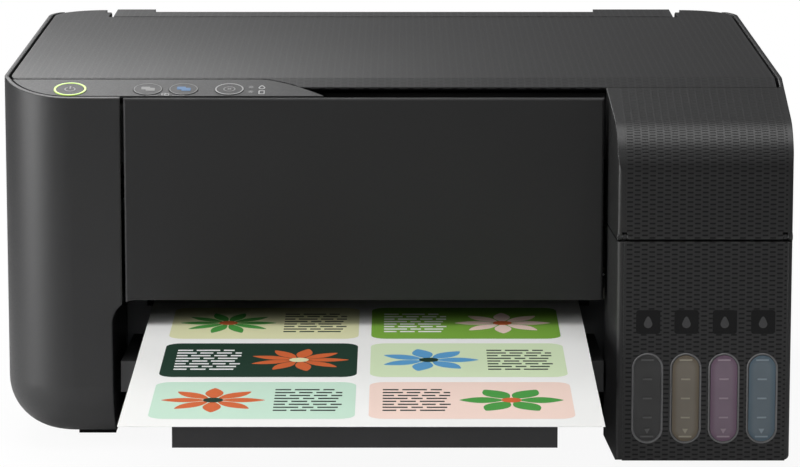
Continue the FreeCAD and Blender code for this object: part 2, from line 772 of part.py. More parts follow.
def make_control_panel():
    points = [(-half, front), (d.panel_end, front)]
    steps = 8
    for index in range(steps + 1):
        x, depth = panel_curve(1 - index / steps)
        points.append((x, behind(depth)))
    points.append((-half, behind(d.panel_back)))
    slab = common(
        prism("XY", points, (panel_bottom, top)),
        plan(d.panel_front, (panel_bottom - 1, top + 1)),
    )
    clear = 0.15
    ring_depth = 1.2
    under, over = -6, 4
    bores = []
    for x, radius in BUTTONS.values():
        bores.append(across_panel(radius + clear, x, under, over))
    ring_x, ring_inside = BUTTONS["power_button"]
    bores.append(across_panel(d.ring_radius, ring_x, -ring_depth, over))
    node("control_panel", cut(slab, above_slope(), *bores))
    ring = across_panel(d.ring_radius, ring_x, -ring_depth, d.ring_proud)
    node("power_light_ring", cut(ring, across_panel(ring_inside + clear, ring_x, under, over)))


def make_button(name, x, radius):
    depth = 2.2
    node(name, across_panel(radius, x, -depth, d.button_proud))


# Paper drive
def gear(teeth, x, at, turn):
    """A spur gear along X; one of its teeth points at the turn, in degrees up from the back."""
    radius = d.gear_module * teeth / 2
    root, tip = radius - d.gear_module * 1.25, radius + d.gear_module * 0.9
    body = doc.addObject("PartDesign::Body", "Gear")
    circle = body.newObject("Sketcher::SketchObject", "Circle")
    circle.AttachmentSupport = [(origin_feature(body, "YZ_Plane"), "")]
    circle.MapMode = "FlatFace"
    circle.addGeometry(Part.Circle(FreeCAD.Vector(), FreeCAD.Vector(0, 0, 1), root.value), False)
    circle.addConstraint(Sketcher.Constraint("Coincident", 0, 3, -1, 1))
    number = circle.addConstraint(Sketcher.Constraint("Radius", 0, root.value))
    circle.renameConstraint(number, "root")
    circle.setExpression("Constraints.root", root.text)
    blank = body.newObject("PartDesign::Pad", "Blank")
    blank.Profile = circle
    bind(blank, "Length", d.gear_width)
    root_half, tip_half = d.gear_module * 0.85, d.gear_module * 0.32
    tooth = body.newObject("PartDesign::Pad", "Tooth")
    inside = root - d.gear_module
    flank = [(inside, -root_half), (tip, -tip_half), (tip, tip_half), (inside, root_half)]
    tooth.Profile = outline(body, "YZ", flank)
    bind(tooth, "Length", d.gear_width)
    pattern = body.newObject("PartDesign::PolarPattern", "Teeth")
    pattern.Originals = [tooth]
    pattern.Axis = (origin_feature(body, "X_Axis"), [""])
    pattern.Angle = 360
    bind(pattern, "Occurrences", teeth)
    body.Tip = pattern
    body.Placement = FreeCAD.Placement(FreeCAD.Vector(), FreeCAD.Rotation(FreeCAD.Vector(1, 0, 0), turn))
    return place(body, x, *at)


gear_x = (d.gear_left, d.gear_left + d.gear_width)
feed_at = (behind(d.feed_back), d.roller_height)
exit_at = (behind(d.exit_back), d.roller_height)
idler_at = (behind((d.feed_back + d.exit_back) / 2), d.roller_height)
pinion_reach = d.gear_module * (d.gear_teeth + d.pinion_teeth) / 2
pinion_at = (
    behind(d.feed_back) + pinion_reach * cosine(d.pinion_angle),
    d.roller_height - pinion_reach * sine(d.pinion_angle),
)
motor_shaft = 1.5
sheet_left, sheet_right = d.paper_middle - d.paper_width / 2, d.paper_middle + d.paper_width / 2


pinch_radius, pinch_shaft = 4, 1.5
pinch_at = (behind(d.feed_back), d.roller_height + d.roller_radius + pinch_radius + d.gap)
pinch_lugs = ((-125, -122), (96, 99))
pickup_at = (behind(222), 84)
pickup_radius, pickup_half = 16, 25
pickup_lugs = ((d.paper_middle - 60, d.paper_middle - 56), (d.paper_middle + 56, d.paper_middle + 60))


def rings(radius, first, width, at):
    """Six rings along a shaft over the sheet's width, the first that far from its left edge."""
    count, pitch = 6, 34
    starts = [sheet_left + first + index * pitch for index in range(count)]
    return [rod("x", radius, (start, start + width), at) for start in starts]


def make_paper_drive():
    shaft_x = (d.gear_left, PLATES[1][1])
    node("feed_roller", fuse(
        gear(d.gear_teeth, d.gear_left, feed_at, 0),
        rod("x", d.shaft_radius, shaft_x, feed_at),
        rod("x", d.roller_radius, (sheet_left, sheet_right), feed_at),
    ))
    node("exit_roller", fuse(
        gear(d.gear_teeth, d.gear_left, exit_at, 0),
        rod("x", d.shaft_radius, shaft_x, exit_at),
        *rings(d.roller_radius - 1, 10, 14, exit_at),
    ))
    half_pitch = 180 / DRIVING["idler_teeth"]
    bore_x = (gear_x[0] - 1, gear_x[1] + 1)
    node("idler_gear", cut(
        gear(d.idler_teeth, d.gear_left, idler_at, half_pitch),
        rod("x", d.shaft_radius + d.running_gap, bore_x, idler_at),
    ))
    pinion_turn = 180 / DRIVING["pinion_teeth"]
    node("motor_pinion", cut(
        gear(d.pinion_teeth, d.gear_left, pinion_at, pinion_turn),
        rod("x", motor_shaft + d.running_gap, bore_x, pinion_at),
    ))
    motor_x, motor_radius = (-183, -163), 15
    node("feed_motor", fuse(
        rod("x", motor_radius, motor_x, pinion_at),
        rod("x", motor_shaft, (motor_x[1] - 1, bore_x[1]), pinion_at),
    ))
    bushes = []
    for x in PLATES:
        for at in (feed_at, exit_at):
            ring = rod("x", bush_outside, x, at)
            bushes.append(cut(ring, rod("x", d.shaft_radius + d.running_gap, (x[0] - 1, x[1] + 1), at)))
    node("roller_bushes", group(*bushes))
    node("pinch_rollers", fuse(
        rod("x", pinch_shaft, (pinch_lugs[0][0], pinch_lugs[1][1]), pinch_at),
        *rings(pinch_radius, 8, 20, pinch_at),
    ))
    star_at = (exit_at[0], star_height)
    node("star_wheels", fuse(
        rod("x", star_shaft, (PLATES[0][0], PLATES[1][1]), star_at),
        *rings(4, 16.5, 1, star_at),
    ))
    node("pickup_roller", fuse(
        rod("x", d.shaft_radius, (pickup_lugs[0][0], pickup_lugs[1][1]), pickup_at),
        rod("x", pickup_radius, (d.paper_middle - pickup_half, d.paper_middle + pickup_half), pickup_at),
    ))


# Print engine
frame_y = (behind(d.frame_back), behind(d.frame_back) + d.frame_sheet)
rail_at = (behind(d.rail_back), d.rail_height)
belt_y = (behind(d.frame_back - 6), behind(d.frame_back - 6) + d.belt_width)
carriage_x = (d.carriage_home - d.carriage_width / 2, d.carriage_home + d.carriage_width / 2)
carriage_y = (behind(d.carriage_front), behind(d.carriage_front) + d.carriage_depth)


def make_main_frame():
    sheet_top = 128
    gear_side, gear_room_top = -140, 88
    paper_room, paper_side = (55, 76), 6
    flange_front, flange_low = 160, 85
    shaft_hole = 3
    through = (frame_y[0] - 1, frame_y[1] + 1)
    plate = block((-d.rail_half, d.rail_half), frame_y, (floor_top, sheet_top))
    tools = [
        block((-d.rail_half * 2, gear_side), through, (0, gear_room_top)),
        block((sheet_left - paper_side, sheet_right + paper_side), through, paper_room),
        rod("y", shaft_hole, through, (-d.pulley_half_span, d.belt_height)),
    ]
    pieces = []
    for side in (-1, 1):
        x = sided(side, d.rail_half - d.frame_sheet, d.rail_half)
        pieces.append(block(x, (behind(flange_front), frame_y[1]), (flange_low, sheet_top)))
    lug_half, arm_half = 2.8, 6
    for x in pinch_lugs:
        pieces.append(block(
            x, (pinch_at[0] - 3.5, frame_y[0] + 1), (pinch_at[1] - lug_half, pinch_at[1] + lug_half),
        ))
        tools.append(rod("x", pinch_shaft + d.running_gap, (x[0] - 1, x[1] + 1), pinch_at))
    for x in pickup_lugs:
        pieces.append(block(
            x, (frame_y[0], pickup_at[0] + arm_half), (pickup_at[1] - arm_half, pickup_at[1] + arm_half),
        ))
        tools.append(rod("x", d.shaft_radius + d.running_gap, (x[0] - 1, x[1] + 1), pickup_at))
    tools.append(rod("x", d.rail_radius, (-d.rail_half - 1, d.rail_half + 1), rail_at))
    stub = rod("y", motor_shaft, (belt_y[0] - 1, frame_y[0] + 0.5), (d.pulley_half_span, d.belt_height))
    node("main_frame", cut(fuse(plate, stub, *pieces), *tools))
    node("carriage_rail", rod("x", d.rail_radius, (-d.rail_half, d.rail_half), rail_at))


def belt_loop(radius):
    """A flat loop round both pulleys."""
    ends = (-d.pulley_half_span, d.pulley_half_span)
    return fuse(
        block(ends, belt_y, (d.belt_height - radius, d.belt_height + radius)),
        *[rod("y", radius, belt_y, (x, d.belt_height)) for x in ends],
    )


def make_carriage_drive():
    node("carriage_belt", cut(belt_loop(d.pulley_radius + 1), belt_loop(d.pulley_radius)))
    for name, x in (("motor_pulley", -d.pulley_half_span), ("idler_pulley", d.pulley_half_span)):
        wheel = rod("y", d.pulley_radius - d.gap, belt_y, (x, d.belt_height))
        through = (belt_y[0] - 1, belt_y[1] + 1)
        bore = rod("y", motor_shaft + d.running_gap, through, (x, d.belt_height))
        hole_radius, hole_out = 0.9, 3.1
        holes = [rod("y", hole_radius, through, (x + out, d.belt_height)) for out in (-hole_out, hole_out)]
        node(name, cut(wheel, bore, *holes))
    motor_y, motor_radius = (frame_y[1] + 0.1, frame_y[1] + 27), 14
    at = (-d.pulley_half_span, d.belt_height)
    node("carriage_motor", fuse(
        rod("y", motor_radius, motor_y, at),
        rod("y", motor_shaft, (belt_y[0] - 1, motor_y[0] + 1), at),
    ))


def make_carriage():
    middle = d.carriage_home
    wall, floor = 3, 12
    body = block(carriage_x, carriage_y, (d.carriage_bottom, d.carriage_top))
    damper_well = block(
        (carriage_x[0] + wall, carriage_x[1] - wall), (carriage_y[0] + wall, carriage_y[1] - wall),
        (d.carriage_bottom + floor, d.carriage_top + 1),
    )
    slide_low, slide_high, slide_back = 6, 5.4, 5.3
    slide = block(
        carriage_x, (carriage_y[1] - 1, rail_at[0] + slide_back),
        (rail_at[1] - slide_low, rail_at[1] + slide_high),
    )
    clip = 6
    clip_x = (middle - clip, middle + clip)
    run = d.belt_height - d.pulley_radius
    clip_top = run + 2.4
    lower = block(clip_x, (rail_at[0], belt_y[1]), (run - 4.5, run - 1.5))
    post = block(clip_x, (rail_at[0], belt_y[0] - 0.4), (run - 4, clip_top))
    upper = block(clip_x, (rail_at[0], belt_y[1]), (run + 0.5, clip_top))
    bore = rod("x", d.rail_radius + d.running_gap, (carriage_x[0] - 1, carriage_x[1] + 1), rail_at)
    node("carriage", cut(fuse(cut(body, damper_well), slide, lower, post, upper), bore))
    head_half, head_inset, head_low = 16, 8, 65.2
    node("print_head", block(
        (middle - head_half, middle + head_half), (carriage_y[0] + head_inset, carriage_y[1] - head_inset),
        (head_low, d.carriage_bottom),
    ))


def make_platen_and_cap_station():
    near, far = behind(113), behind(159)
    platen_x, platen_low, platen_high = (-125, 100), 50, 61.5
    rib_count, rib_first, rib_pitch, rib_thick, rib_top = 14, -122, 16, 1.5, 63
    pieces = [block(platen_x, (near, far), (platen_low, platen_high))]
    for index in range(rib_count):
        x = rib_first + index * rib_pitch
        pieces.append(block((x, x + rib_thick), (near, far), (platen_high - 0.5, rib_top)))
    node("platen", fuse(*pieces))
    tub_top, cup_top = 58, 64
    inset, cup_wall, cup_floor = 8, 2, 60
    cup_left, cup_right = 122, 146
    tub = block((cup_left, 160), (near, far), (30, tub_top))
    cup = block((cup_left, cup_right), (near + inset, far - inset), (tub_top - 1, cup_top))
    cup_hollow = block(
        (cup_left + cup_wall, cup_right - cup_wall), (near + inset + cup_wall, far - inset - cup_wall),
        (cup_floor, cup_top + 1),
    )
    wiper = block((150, 152), (near + inset, far - inset), (tub_top - 1, cup_top))
    node("cap_station", cut(fuse(tub, cup, wiper), cup_hollow))


def make_ink_tubes():
    """Four ink tubes side by side in one flat ribbon, folded back on itself like a U."""
    z = (98, 107.6)
    thick = 2.4
    still_y, moving_y = behind(70), behind(106)
    still_end, moving_end = 135, 110
    bend = (moving_y - still_y) / 2
    corner = 15
    past = 40
    over = (z[0] - 1, z[1] + 1)
    still = block((0, still_end), (still_y, still_y + thick), z)
    moving = block((0, moving_end), (moving_y, moving_y + thick), z)
    link = block((moving_end - thick, moving_end), (moving_y, carriage_y[0] - d.gap), z)
    centre = (0, still_y + bend + thick / 2)
    loop = cut(
        rod("z", bend + thick / 2, z, centre), rod("z", bend - thick / 2, z, centre),
        block((0, past), (still_y - past, moving_y + past), over),
    )
    corner_at = (still_end, still_y + thick - corner)
    elbow = cut(
        rod("z", corner, z, corner_at), rod("z", corner - thick, z, corner_at),
        block((still_end - past, still_end), (still_y - past, still_y + past), over),
        block((still_end - past, still_end + past), (still_y - past, corner_at[1]), over),
    )
    run_x = (still_end + corner - thick, still_end + corner)
    run = block(run_x, (behind(d.tank_back), corner_at[1]), z)
    node("ink_tubes", fuse(still, moving, link, loop, elbow, run))


# Paper path
lean_y, lean_z = behind(d.hopper_back), top


def leaning(piece):
    """Lean a piece built upright back with the paper hopper."""
    return tilt(piece, d.hopper_lean, lean_y, lean_z)


def make_hopper_and_guides():
    back_x, back_thick, back_z = (-138, 112), 3, (52, 171)
    ramp_y, ramp_z = (behind(186), behind(256)), (58, 60.5)
    back = leaning(block(back_x, (lean_y, lean_y + back_thick), back_z))
    node("paper_hopper", fuse(back, block((sheet_left, sheet_right), ramp_y, ramp_z)))
    thick, side_gap, guide_depth = 3, 0.4, 10
    guide_y, guide_z = (lean_y - guide_depth, lean_y - d.gap - 0.2), (100, 168)
    left, right = sheet_left - side_gap, sheet_right + side_gap
    node("edge_guide_left", leaning(block((left - thick, left), guide_y, guide_z)))
    node("edge_guide_right", leaning(block((right, right + thick), guide_y, guide_z)))


def make_paper_support():
    panel_half, panel_y, panel_z = 100, (lean_y + 4.2, lean_y + 6.6), (62, 178)
    panel = leaning(block((d.paper_middle - panel_half, d.paper_middle + panel_half), panel_y, panel_z))
    cap_front, cap_thick = 272, 3.6
    cap = block((-d.support_half, d.support_half), (behind(cap_front), rear - 0.5), (top - cap_thick, top))
    grip_x, grip_front, grip_depth = (-131, 110), 293.5, 2
    grip = block(grip_x, (behind(grip_front), rear + reach), (top - grip_depth, top + reach))
    node("paper_support", fuse(cut(cap, grip), panel))


tray_pivot_z = 36


def on_tray(piece):
    """Tip a piece built level with the output tray, whose front is raised."""
    return tilt(piece, d.tray_slope, front, tray_pivot_z)


def make_output_tray():
    middle, lip_half = d.lip_middle, d.lip_width / 2
    plate_low, plate_high = 36.7, 39.7
    clear, skin = 0.4, 2.4
    bed_x, bed_front, bed_back, bed_under, bed_over = (-131, 102), 4, 100, 4.4, 1.2
    inner_half = lip_half + clear + 10
    inner_low, inner_high = plate_low - clear - skin, plate_high + clear + skin
    room_low, room_high = inner_low - clear, inner_high + clear
    bed = block(
        bed_x, (behind(bed_front), behind(bed_back)), (room_low - bed_under, room_high + bed_over),
    )
    bed_room = block(
        (middle - inner_half - clear, middle + inner_half + clear),
        (behind(bed_front - 1), behind(bed_back + 1)), (room_low, room_high),
    )
    node("output_tray", on_tray(cut(bed, bed_room)))
    sleeve_front, sleeve_back = 102 - d.tray_reach, 12
    sleeve = block(
        (middle - inner_half, middle + inner_half), (behind(sleeve_front), behind(sleeve_back)),
        (inner_low, inner_high),
    )
    sleeve_room = block(
        (middle - lip_half - clear, middle + lip_half + clear),
        (behind(sleeve_front - 1), behind(sleeve_back + 1)), (plate_low - clear, plate_high + clear),
    )
    node("tray_extension_inner", on_tray(cut(sleeve, sleeve_room)))
    plate_x = (middle - lip_half, middle + lip_half)
    plate_front, plate_back = behind(-d.tray_reach), behind(sleeve_front + 12)
    lip_thick = 4
    plate = block(plate_x, (plate_front, plate_back), (plate_low, plate_high))
    lip = block(plate_x, (plate_front, plate_front + lip_thick), (plate_low, plate_low + d.lip_height))
    node("tray_extension_outer", on_tray(fuse(plate, lip)))


def make_printed_sheet():
    near = behind(-d.tray_reach)
    paper = block(
        (sheet_left, sheet_right), (near, near + d.paper_length),
        (d.paper_front_height, d.paper_front_height + d.paper_thickness),
    )
    node("printed_sheet", tilt(paper, d.paper_slope, near, d.paper_front_height, back_up=True))


# Electrics
def make_electrics():
    clear = 0.3
    board_x, board_z = (-147, -105), (24, 90)
    board_y = (behind(296), behind(297.6))
    usb_x, usb_z = socket_usb
    usb_wall = 1.6
    board = block(board_x, board_y, board_z)
    usb = block(
        (usb_x[0] + clear, usb_x[1] - clear), (board_y[0] + 1, rear - clear),
        (usb_z[0] + clear, usb_z[1] - clear),
    )
    usb_room = block(
        (usb_x[0] + usb_wall, usb_x[1] - usb_wall), (board_y[1] + 1, rear + 1),
        (usb_z[0] + usb_wall, usb_z[1] - usb_wall),
    )
    node("main_board", cut(fuse(board, usb), usb_room))
    box_x, box_y, box_z = (100, 156), (behind(215), behind(292)), (14, 50)
    power_x, power_z = socket_power
    inlet_wall, pin_radius, pin_in = 2, 1.2, 6.5
    inlet = block(
        (power_x[0] + clear, power_x[1] - clear), (box_y[1] - 1, rear - clear),
        (power_z[0] + clear, power_z[1] - clear),
    )
    inlet_room = block(
        (power_x[0] + inlet_wall, power_x[1] - inlet_wall), (behind(296.5), rear + 1),
        (power_z[0] + inlet_wall, power_z[1] - inlet_wall),
    )
    pin_y, pin_z = (behind(295), rear - 2.5), (power_z[0] + power_z[1]) / 2
    pins = [rod("y", pin_radius, pin_y, (x, pin_z)) for x in (power_x[0] + pin_in, power_x[1] - pin_in)]
    node("power_supply", fuse(cut(fuse(block(box_x, box_y, box_z), inlet), inlet_room), *pins))


make_outer_case()
make_front_panel()
make_base()
make_feet_and_screws()
make_tank_housing()
make_tank_front_plate()
for tank_name, tank_x in zip(TANKS, tank_places):
    make_ink_tank(tank_name, tank_x)
    make_ink_cap(tank_name, tank_x)
make_tank_cover()
make_hinge_pins()
make_scanner()
make_scan_head()
make_document_cover()
make_control_panel()
for button_name, (button_x, button_radius) in BUTTONS.items():
    make_button(button_name, button_x, button_radius)
make_paper_drive()
make_main_frame()
make_carriage_drive()
make_carriage()
make_platen_and_cap_station()
make_ink_tubes()
make_hopper_and_guides()
make_paper_support()
make_output_tray()
make_printed_sheet()
make_electrics()

doc.recompute()
failed = [thing.Label for thing in doc.Objects if "Invalid" in thing.State or "Error" in thing.State]
failed += [name for name, piece in NODES.items() if piece.Shape.isNull() or not piece.Shape.isValid()]
if failed:
    raise RuntimeError(f"pieces that did not build: {failed}")

os.makedirs("parts", exist_ok=True)
for name, piece in NODES.items():
    piece.Shape.exportStep(os.path.join("parts", f"{name}.step"))
    box = piece.Shape.BoundBox
    heights = f"z {box.ZMin:.1f} to {box.ZMax:.1f}"
    print(f"{name}: {len(piece.Shape.Solids)} solids, {piece.Shape.Volume:.0f} mm3, {heights}")
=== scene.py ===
"""Finishes, markings and studio for an ink tank printer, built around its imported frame."""

import math
from itertools import cycle

import bmesh
import bpy
from mathutils import Matrix, Vector


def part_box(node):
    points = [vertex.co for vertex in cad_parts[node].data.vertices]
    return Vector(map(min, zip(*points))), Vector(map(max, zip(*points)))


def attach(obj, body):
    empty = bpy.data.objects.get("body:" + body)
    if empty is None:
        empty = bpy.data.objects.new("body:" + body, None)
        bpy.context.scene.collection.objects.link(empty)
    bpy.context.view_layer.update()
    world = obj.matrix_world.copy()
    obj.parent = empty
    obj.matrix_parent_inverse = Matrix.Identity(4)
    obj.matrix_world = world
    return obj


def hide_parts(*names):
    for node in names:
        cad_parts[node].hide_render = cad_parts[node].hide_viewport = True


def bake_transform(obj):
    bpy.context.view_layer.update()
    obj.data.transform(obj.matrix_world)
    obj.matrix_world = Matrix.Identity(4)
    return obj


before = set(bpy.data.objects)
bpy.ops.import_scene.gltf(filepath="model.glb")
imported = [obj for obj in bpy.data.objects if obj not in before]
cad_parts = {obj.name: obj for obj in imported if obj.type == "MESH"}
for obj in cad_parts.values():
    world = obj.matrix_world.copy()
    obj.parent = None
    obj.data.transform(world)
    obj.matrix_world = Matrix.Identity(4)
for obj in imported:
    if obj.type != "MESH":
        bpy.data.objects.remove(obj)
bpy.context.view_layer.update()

bl_info = {
    "name": "Ink tank printer",
    "version": (1, 0, 0),
    "blender": (4, 5, 0),
    "location": "View3D > Sidebar > Printer",
    "description": "Finishes, markings and studio of an ink tank printer",
    "category": "Object",
}

MM = 0.001


def centre_x(node):
    """The middle of a node from left to right, in millimetres."""
    low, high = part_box(node)
    return (low.x + high.x) / 2 / MM


# Faces that marks lie on: the slope along the line of buttons, the tank front and the printed sheet
PANEL_TILT = math.radians(15)
PANEL_MIDDLE = (0, -41.15, 175.2755)
TANK_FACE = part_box("tank_front_plate")[0].y / MM
SHEET_TILT = math.radians(1)
SHEET_THICKNESS = 0.15
SHEET_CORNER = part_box("printed_sheet")[0] / MM + Vector((0, 0, SHEET_THICKNESS))

BUTTON_X = {name: centre_x(f"{name}_button") for name in ("power", "mono_copy", "colour_copy", "stop")}
BUTTON_PROUD = 0.2
PRINT_HEIGHT = 0.06

# What the main board's node has behind this plane is its socket's shell
BOARD_BACK = 246.0

TANK_INKS = ("black", "yellow", "magenta", "cyan")
TANK_X = {ink: centre_x(f"ink_tank_{ink}") for ink in TANK_INKS}
WINDOW_LOW, WINDOW_HIGH = 14.6, 56.6
WINDOW_MIDDLE = (WINDOW_LOW + WINDOW_HIGH) / 2
WINDOW_RADIUS = 6.6

# Each window's tone in its middle, its darker painted shade at its border, and on its raised marks a lighter
# tone that is a painted highlight
WINDOW_TINTS = {
    "black": ("#464646", "#383838", "#5e5e5e"), "yellow": ("#817a6f", "#6a5f4f", "#a39c8c"),
    "magenta": ("#837280", "#70576b", "#a5939f"), "cyan": ("#6b777f", "#556875", "#8b98a1"),
}
INK_COLOURS = {"black": "#151515", "yellow": "#e3c51c", "magenta": "#b5174f", "cyan": "#1179b8"}

# The colour sockets of a Mix node
MIX_A, MIX_B, MIX_RESULT = 6, 7, 2


def linear(code):
    """An sRGB hex colour as linear RGBA."""
    channels = [int(code[index:index + 2], 16) / 255 for index in (1, 3, 5)]
    lit = [c / 12.92 if c <= 0.04045 else ((c + 0.055) / 1.055) ** 2.4 for c in channels]
    return (*lit, 1.0)


WHITE = linear("#ffffff")


def toned(colour, share):
    """A linear colour made darker or lighter by a share of its light."""
    return tuple(channel * share for channel in colour[:3]) + (1.0,)


def add_node(tree, kind, inputs=None, **settings):
    """Adds a node with its settings; an input is a value, a socket, or a node for its first output."""
    made = tree.nodes.new(kind)
    for name, value in settings.items():
        setattr(made, name, value)
    for socket, value in (inputs or {}).items():
        if isinstance(value, bpy.types.Node):
            value = value.outputs[0]
        if isinstance(value, bpy.types.NodeSocket):
            tree.links.new(value, made.inputs[socket])
        else:
            made.inputs[socket].default_value = value
    return made


def new_material(name):
    """An empty node material, its tree and its texture coordinates."""
    made = bpy.data.materials.new(name)
    made.use_nodes = True
    made.node_tree.nodes.clear()
    return made, made.node_tree, add_node(made.node_tree, "ShaderNodeTexCoord")


def moulded(name, colour, roughness, grain=0.9, depth=0.012, mottle=0.08, edge=0.4, specular=0.5,
            coat=0.0, pattern=None):
    """Moulded plastic. Spark erosion leaves a fine grain, drawn a little coarser than life so that it
    shows, and the surface scatters light unevenly; its edges are rounded over."""
    cloud_size, uneven = 38, 0.05
    made, tree, place = new_material(name)
    grains = add_node(tree, "ShaderNodeTexNoise", {
        "Vector": place.outputs["Object"], "Scale": 1 / (grain * MM), "Detail": 2.0, "Roughness": 0.6,
    })
    cloud = add_node(tree, "ShaderNodeTexNoise", {
        "Vector": place.outputs["Object"], "Scale": 1 / (cloud_size * MM), "Detail": 3.0,
    })
    tone = add_node(tree, "ShaderNodeMix", {
        0: cloud, MIX_A: toned(colour, 1 - mottle), MIX_B: toned(colour, 1 + mottle),
    }, data_type="RGBA").outputs[MIX_RESULT]
    gloss = add_node(tree, "ShaderNodeMapRange", {
        "Value": grains, "From Min": 0.3, "From Max": 0.7,
        "To Min": roughness - uneven, "To Max": roughness + uneven,
    })
    rounded = add_node(tree, "ShaderNodeBevel", {"Radius": edge * MM}, samples=4)
    bump = add_node(tree, "ShaderNodeBump", {
        "Height": grains, "Distance": depth * MM, "Strength": 1.0, "Normal": rounded,
    })
    shine = WHITE
    if pattern:
        tone, shine, bump = pattern(tree, place, tone, shine, bump)
    shader = add_node(tree, "ShaderNodeBsdfPrincipled", {
        "Base Color": tone, "Roughness": gloss, "Normal": bump, "Specular IOR Level": specular,
        "Specular Tint": shine, "Coat Weight": coat, "Coat Roughness": 0.25,
    })
    add_node(tree, "ShaderNodeOutputMaterial", {"Surface": shader})
    return made


def groove_mask(tree, place, span):
    """Where the weave's grooves are: one inside a groove, nought between grooves and on other faces."""
    finish = bpy.context.scene.printer_finish
    pitch = (finish.weave_column, finish.weave_step, 1)
    middle, reach = (span[0] + span[1]) / 2 * MM, (span[1] - span[0]) / 2 * MM
    half_width, half_height = (0.34, 0.43), (0.12, 0.23)

    # The weave's cells run across, and down the top and the front as one length
    point = add_node(tree, "ShaderNodeSeparateXYZ", {0: place.outputs["Object"]}).outputs
    along = add_node(tree, "ShaderNodeMath", {0: point["Y"], 1: point["Z"]}, operation="ADD")
    cell = add_node(tree, "ShaderNodeCombineXYZ", {0: point["X"], 1: along})
    cell = add_node(tree, "ShaderNodeVectorMath", {0: cell, 1: pitch}, operation="DIVIDE")

    # Every other column is half a step lower
    column = add_node(tree, "ShaderNodeVectorMath", {0: cell}, operation="FLOOR")
    column = add_node(tree, "ShaderNodeSeparateXYZ", {0: column}).outputs["X"]
    odd = add_node(tree, "ShaderNodeMath", {0: column, 1: 2.0}, operation="FLOORED_MODULO")
    shift = add_node(tree, "ShaderNodeMath", {0: odd, 1: 0.5}, operation="MULTIPLY")
    shift = add_node(tree, "ShaderNodeCombineXYZ", {1: shift})
    cell = add_node(tree, "ShaderNodeVectorMath", {0: cell, 1: shift}, operation="ADD")

    # How far a point is from the middle of its cell
    cell = add_node(tree, "ShaderNodeVectorMath", {0: cell}, operation="FRACTION")
    cell = add_node(tree, "ShaderNodeVectorMath", {0: cell, 1: (0.5, 0.5, 0)}, operation="SUBTRACT")
    cell = add_node(tree, "ShaderNodeVectorMath", {0: cell}, operation="ABSOLUTE")
    off = add_node(tree, "ShaderNodeSeparateXYZ", {0: cell}).outputs
    wide, tall = [
        add_node(tree, "ShaderNodeMapRange", {
            "Value": off[axis], "From Min": full, "From Max": none, "To Min": 1.0, "To Max": 0.0,
        }, interpolation_type="SMOOTHSTEP")
        for axis, (full, none) in (("X", half_width), ("Y", half_height))
    ]
    inside = add_node(tree, "ShaderNodeMath", {0: point["X"], 1: middle, 2: reach}, operation="COMPARE")

    # Only what faces up or to the front is woven
    facing = add_node(tree, "ShaderNodeSeparateXYZ", {0: place.outputs["Normal"]}).outputs
    ahead = add_node(tree, "ShaderNodeMath", {0: facing["Y"], 1: -1.0}, operation="MULTIPLY")
    seen = add_node(tree, "ShaderNodeMath", {0: facing["Z"], 1: ahead}, operation="MAXIMUM")
    seen = add_node(tree, "ShaderNodeMath", {0: seen, 1: 0.5}, operation="GREATER_THAN")
    groove = wide
    for limit in (tall, inside, seen):
        groove = add_node(tree, "ShaderNodeMath", {0: groove, 1: limit}, operation="MULTIPLY")
    return groove


def woven(span, shade=0.42, depth=0.05, crown=None):
    """A pressed basket weave: columns of short grooves, each column half a step from the next, darkened and
    dulled by painted shade.
    A crown bends the light as a top does that falls away gently from a line across it."""

    def pattern(tree, place, tone, shine, bump):
        if crown:
            line, radius = crown
            point = add_node(tree, "ShaderNodeSeparateXYZ", {0: place.outputs["Object"]}).outputs
            fall = add_node(tree, "ShaderNodeMath", {0: point["Y"], 1: line * MM}, operation="SUBTRACT")
            fall = add_node(tree, "ShaderNodeMath", {0: fall, 1: fall}, operation="MULTIPLY")
            bump = add_node(tree, "ShaderNodeBump", {
                "Height": fall, "Distance": 0.5 / (radius * MM), "Normal": bump,
            }, invert=True)
        groove = groove_mask(tree, place, span)
        # Painted shade in the grooves: their colour is darkened and their sheen dulled by the shade share
        shadow = (shade, shade, shade, 1)
        dark = add_node(tree, "ShaderNodeMix", {
            0: groove, MIX_A: tone, MIX_B: shadow,
        }, data_type="RGBA", blend_type="MULTIPLY").outputs[MIX_RESULT]
        dull = add_node(tree, "ShaderNodeMix", {
            0: groove, MIX_A: shine, MIX_B: shadow,
        }, data_type="RGBA").outputs[MIX_RESULT]
        pressed = add_node(tree, "ShaderNodeBump", {
            "Height": groove, "Distance": depth * MM, "Normal": bump,
        }, invert=True)
        return dark, dull, pressed

    return pattern


def socket_shell(tree, place, tone, shine, bump):
    """Turns what stands out behind the main board from green lacquer into its socket's tinned shell."""
    point = add_node(tree, "ShaderNodeSeparateXYZ", {0: place.outputs["Object"]}).outputs
    out = add_node(tree, "ShaderNodeMath", {0: point["Y"], 1: BOARD_BACK * MM}, operation="GREATER_THAN")
    tin = add_node(tree, "ShaderNodeMix", {
        0: out, MIX_A: tone, MIX_B: linear("#8d8f91"),
    }, data_type="RGBA")
    return tin.outputs[MIX_RESULT], shine, bump


def metal(name, code, roughness, line=4.0, stretch=(1, 30, 30)):
    """Plated or drawn steel: fine lines along the draw, which blur the gloss one way."""
    made, tree, place = new_material(name)
    turned = add_node(tree, "ShaderNodeMapping", {"Vector": place.outputs["Object"], "Scale": stretch})
    lines = add_node(tree, "ShaderNodeTexNoise", {
        "Vector": turned, "Scale": 1 / (line * MM), "Detail": 3.0,
    })
    gloss = add_node(tree, "ShaderNodeMapRange", {
        "Value": lines, "To Min": roughness - 0.08, "To Max": roughness + 0.1,
    })
    bump = add_node(tree, "ShaderNodeBump", {"Height": lines, "Distance": 0.004 * MM})
    shader = add_node(tree, "ShaderNodeBsdfPrincipled", {
        "Base Color": linear(code), "Metallic": 1.0, "Roughness": gloss, "Normal": bump,
    })
    add_node(tree, "ShaderNodeOutputMaterial", {"Surface": shader})
    return made


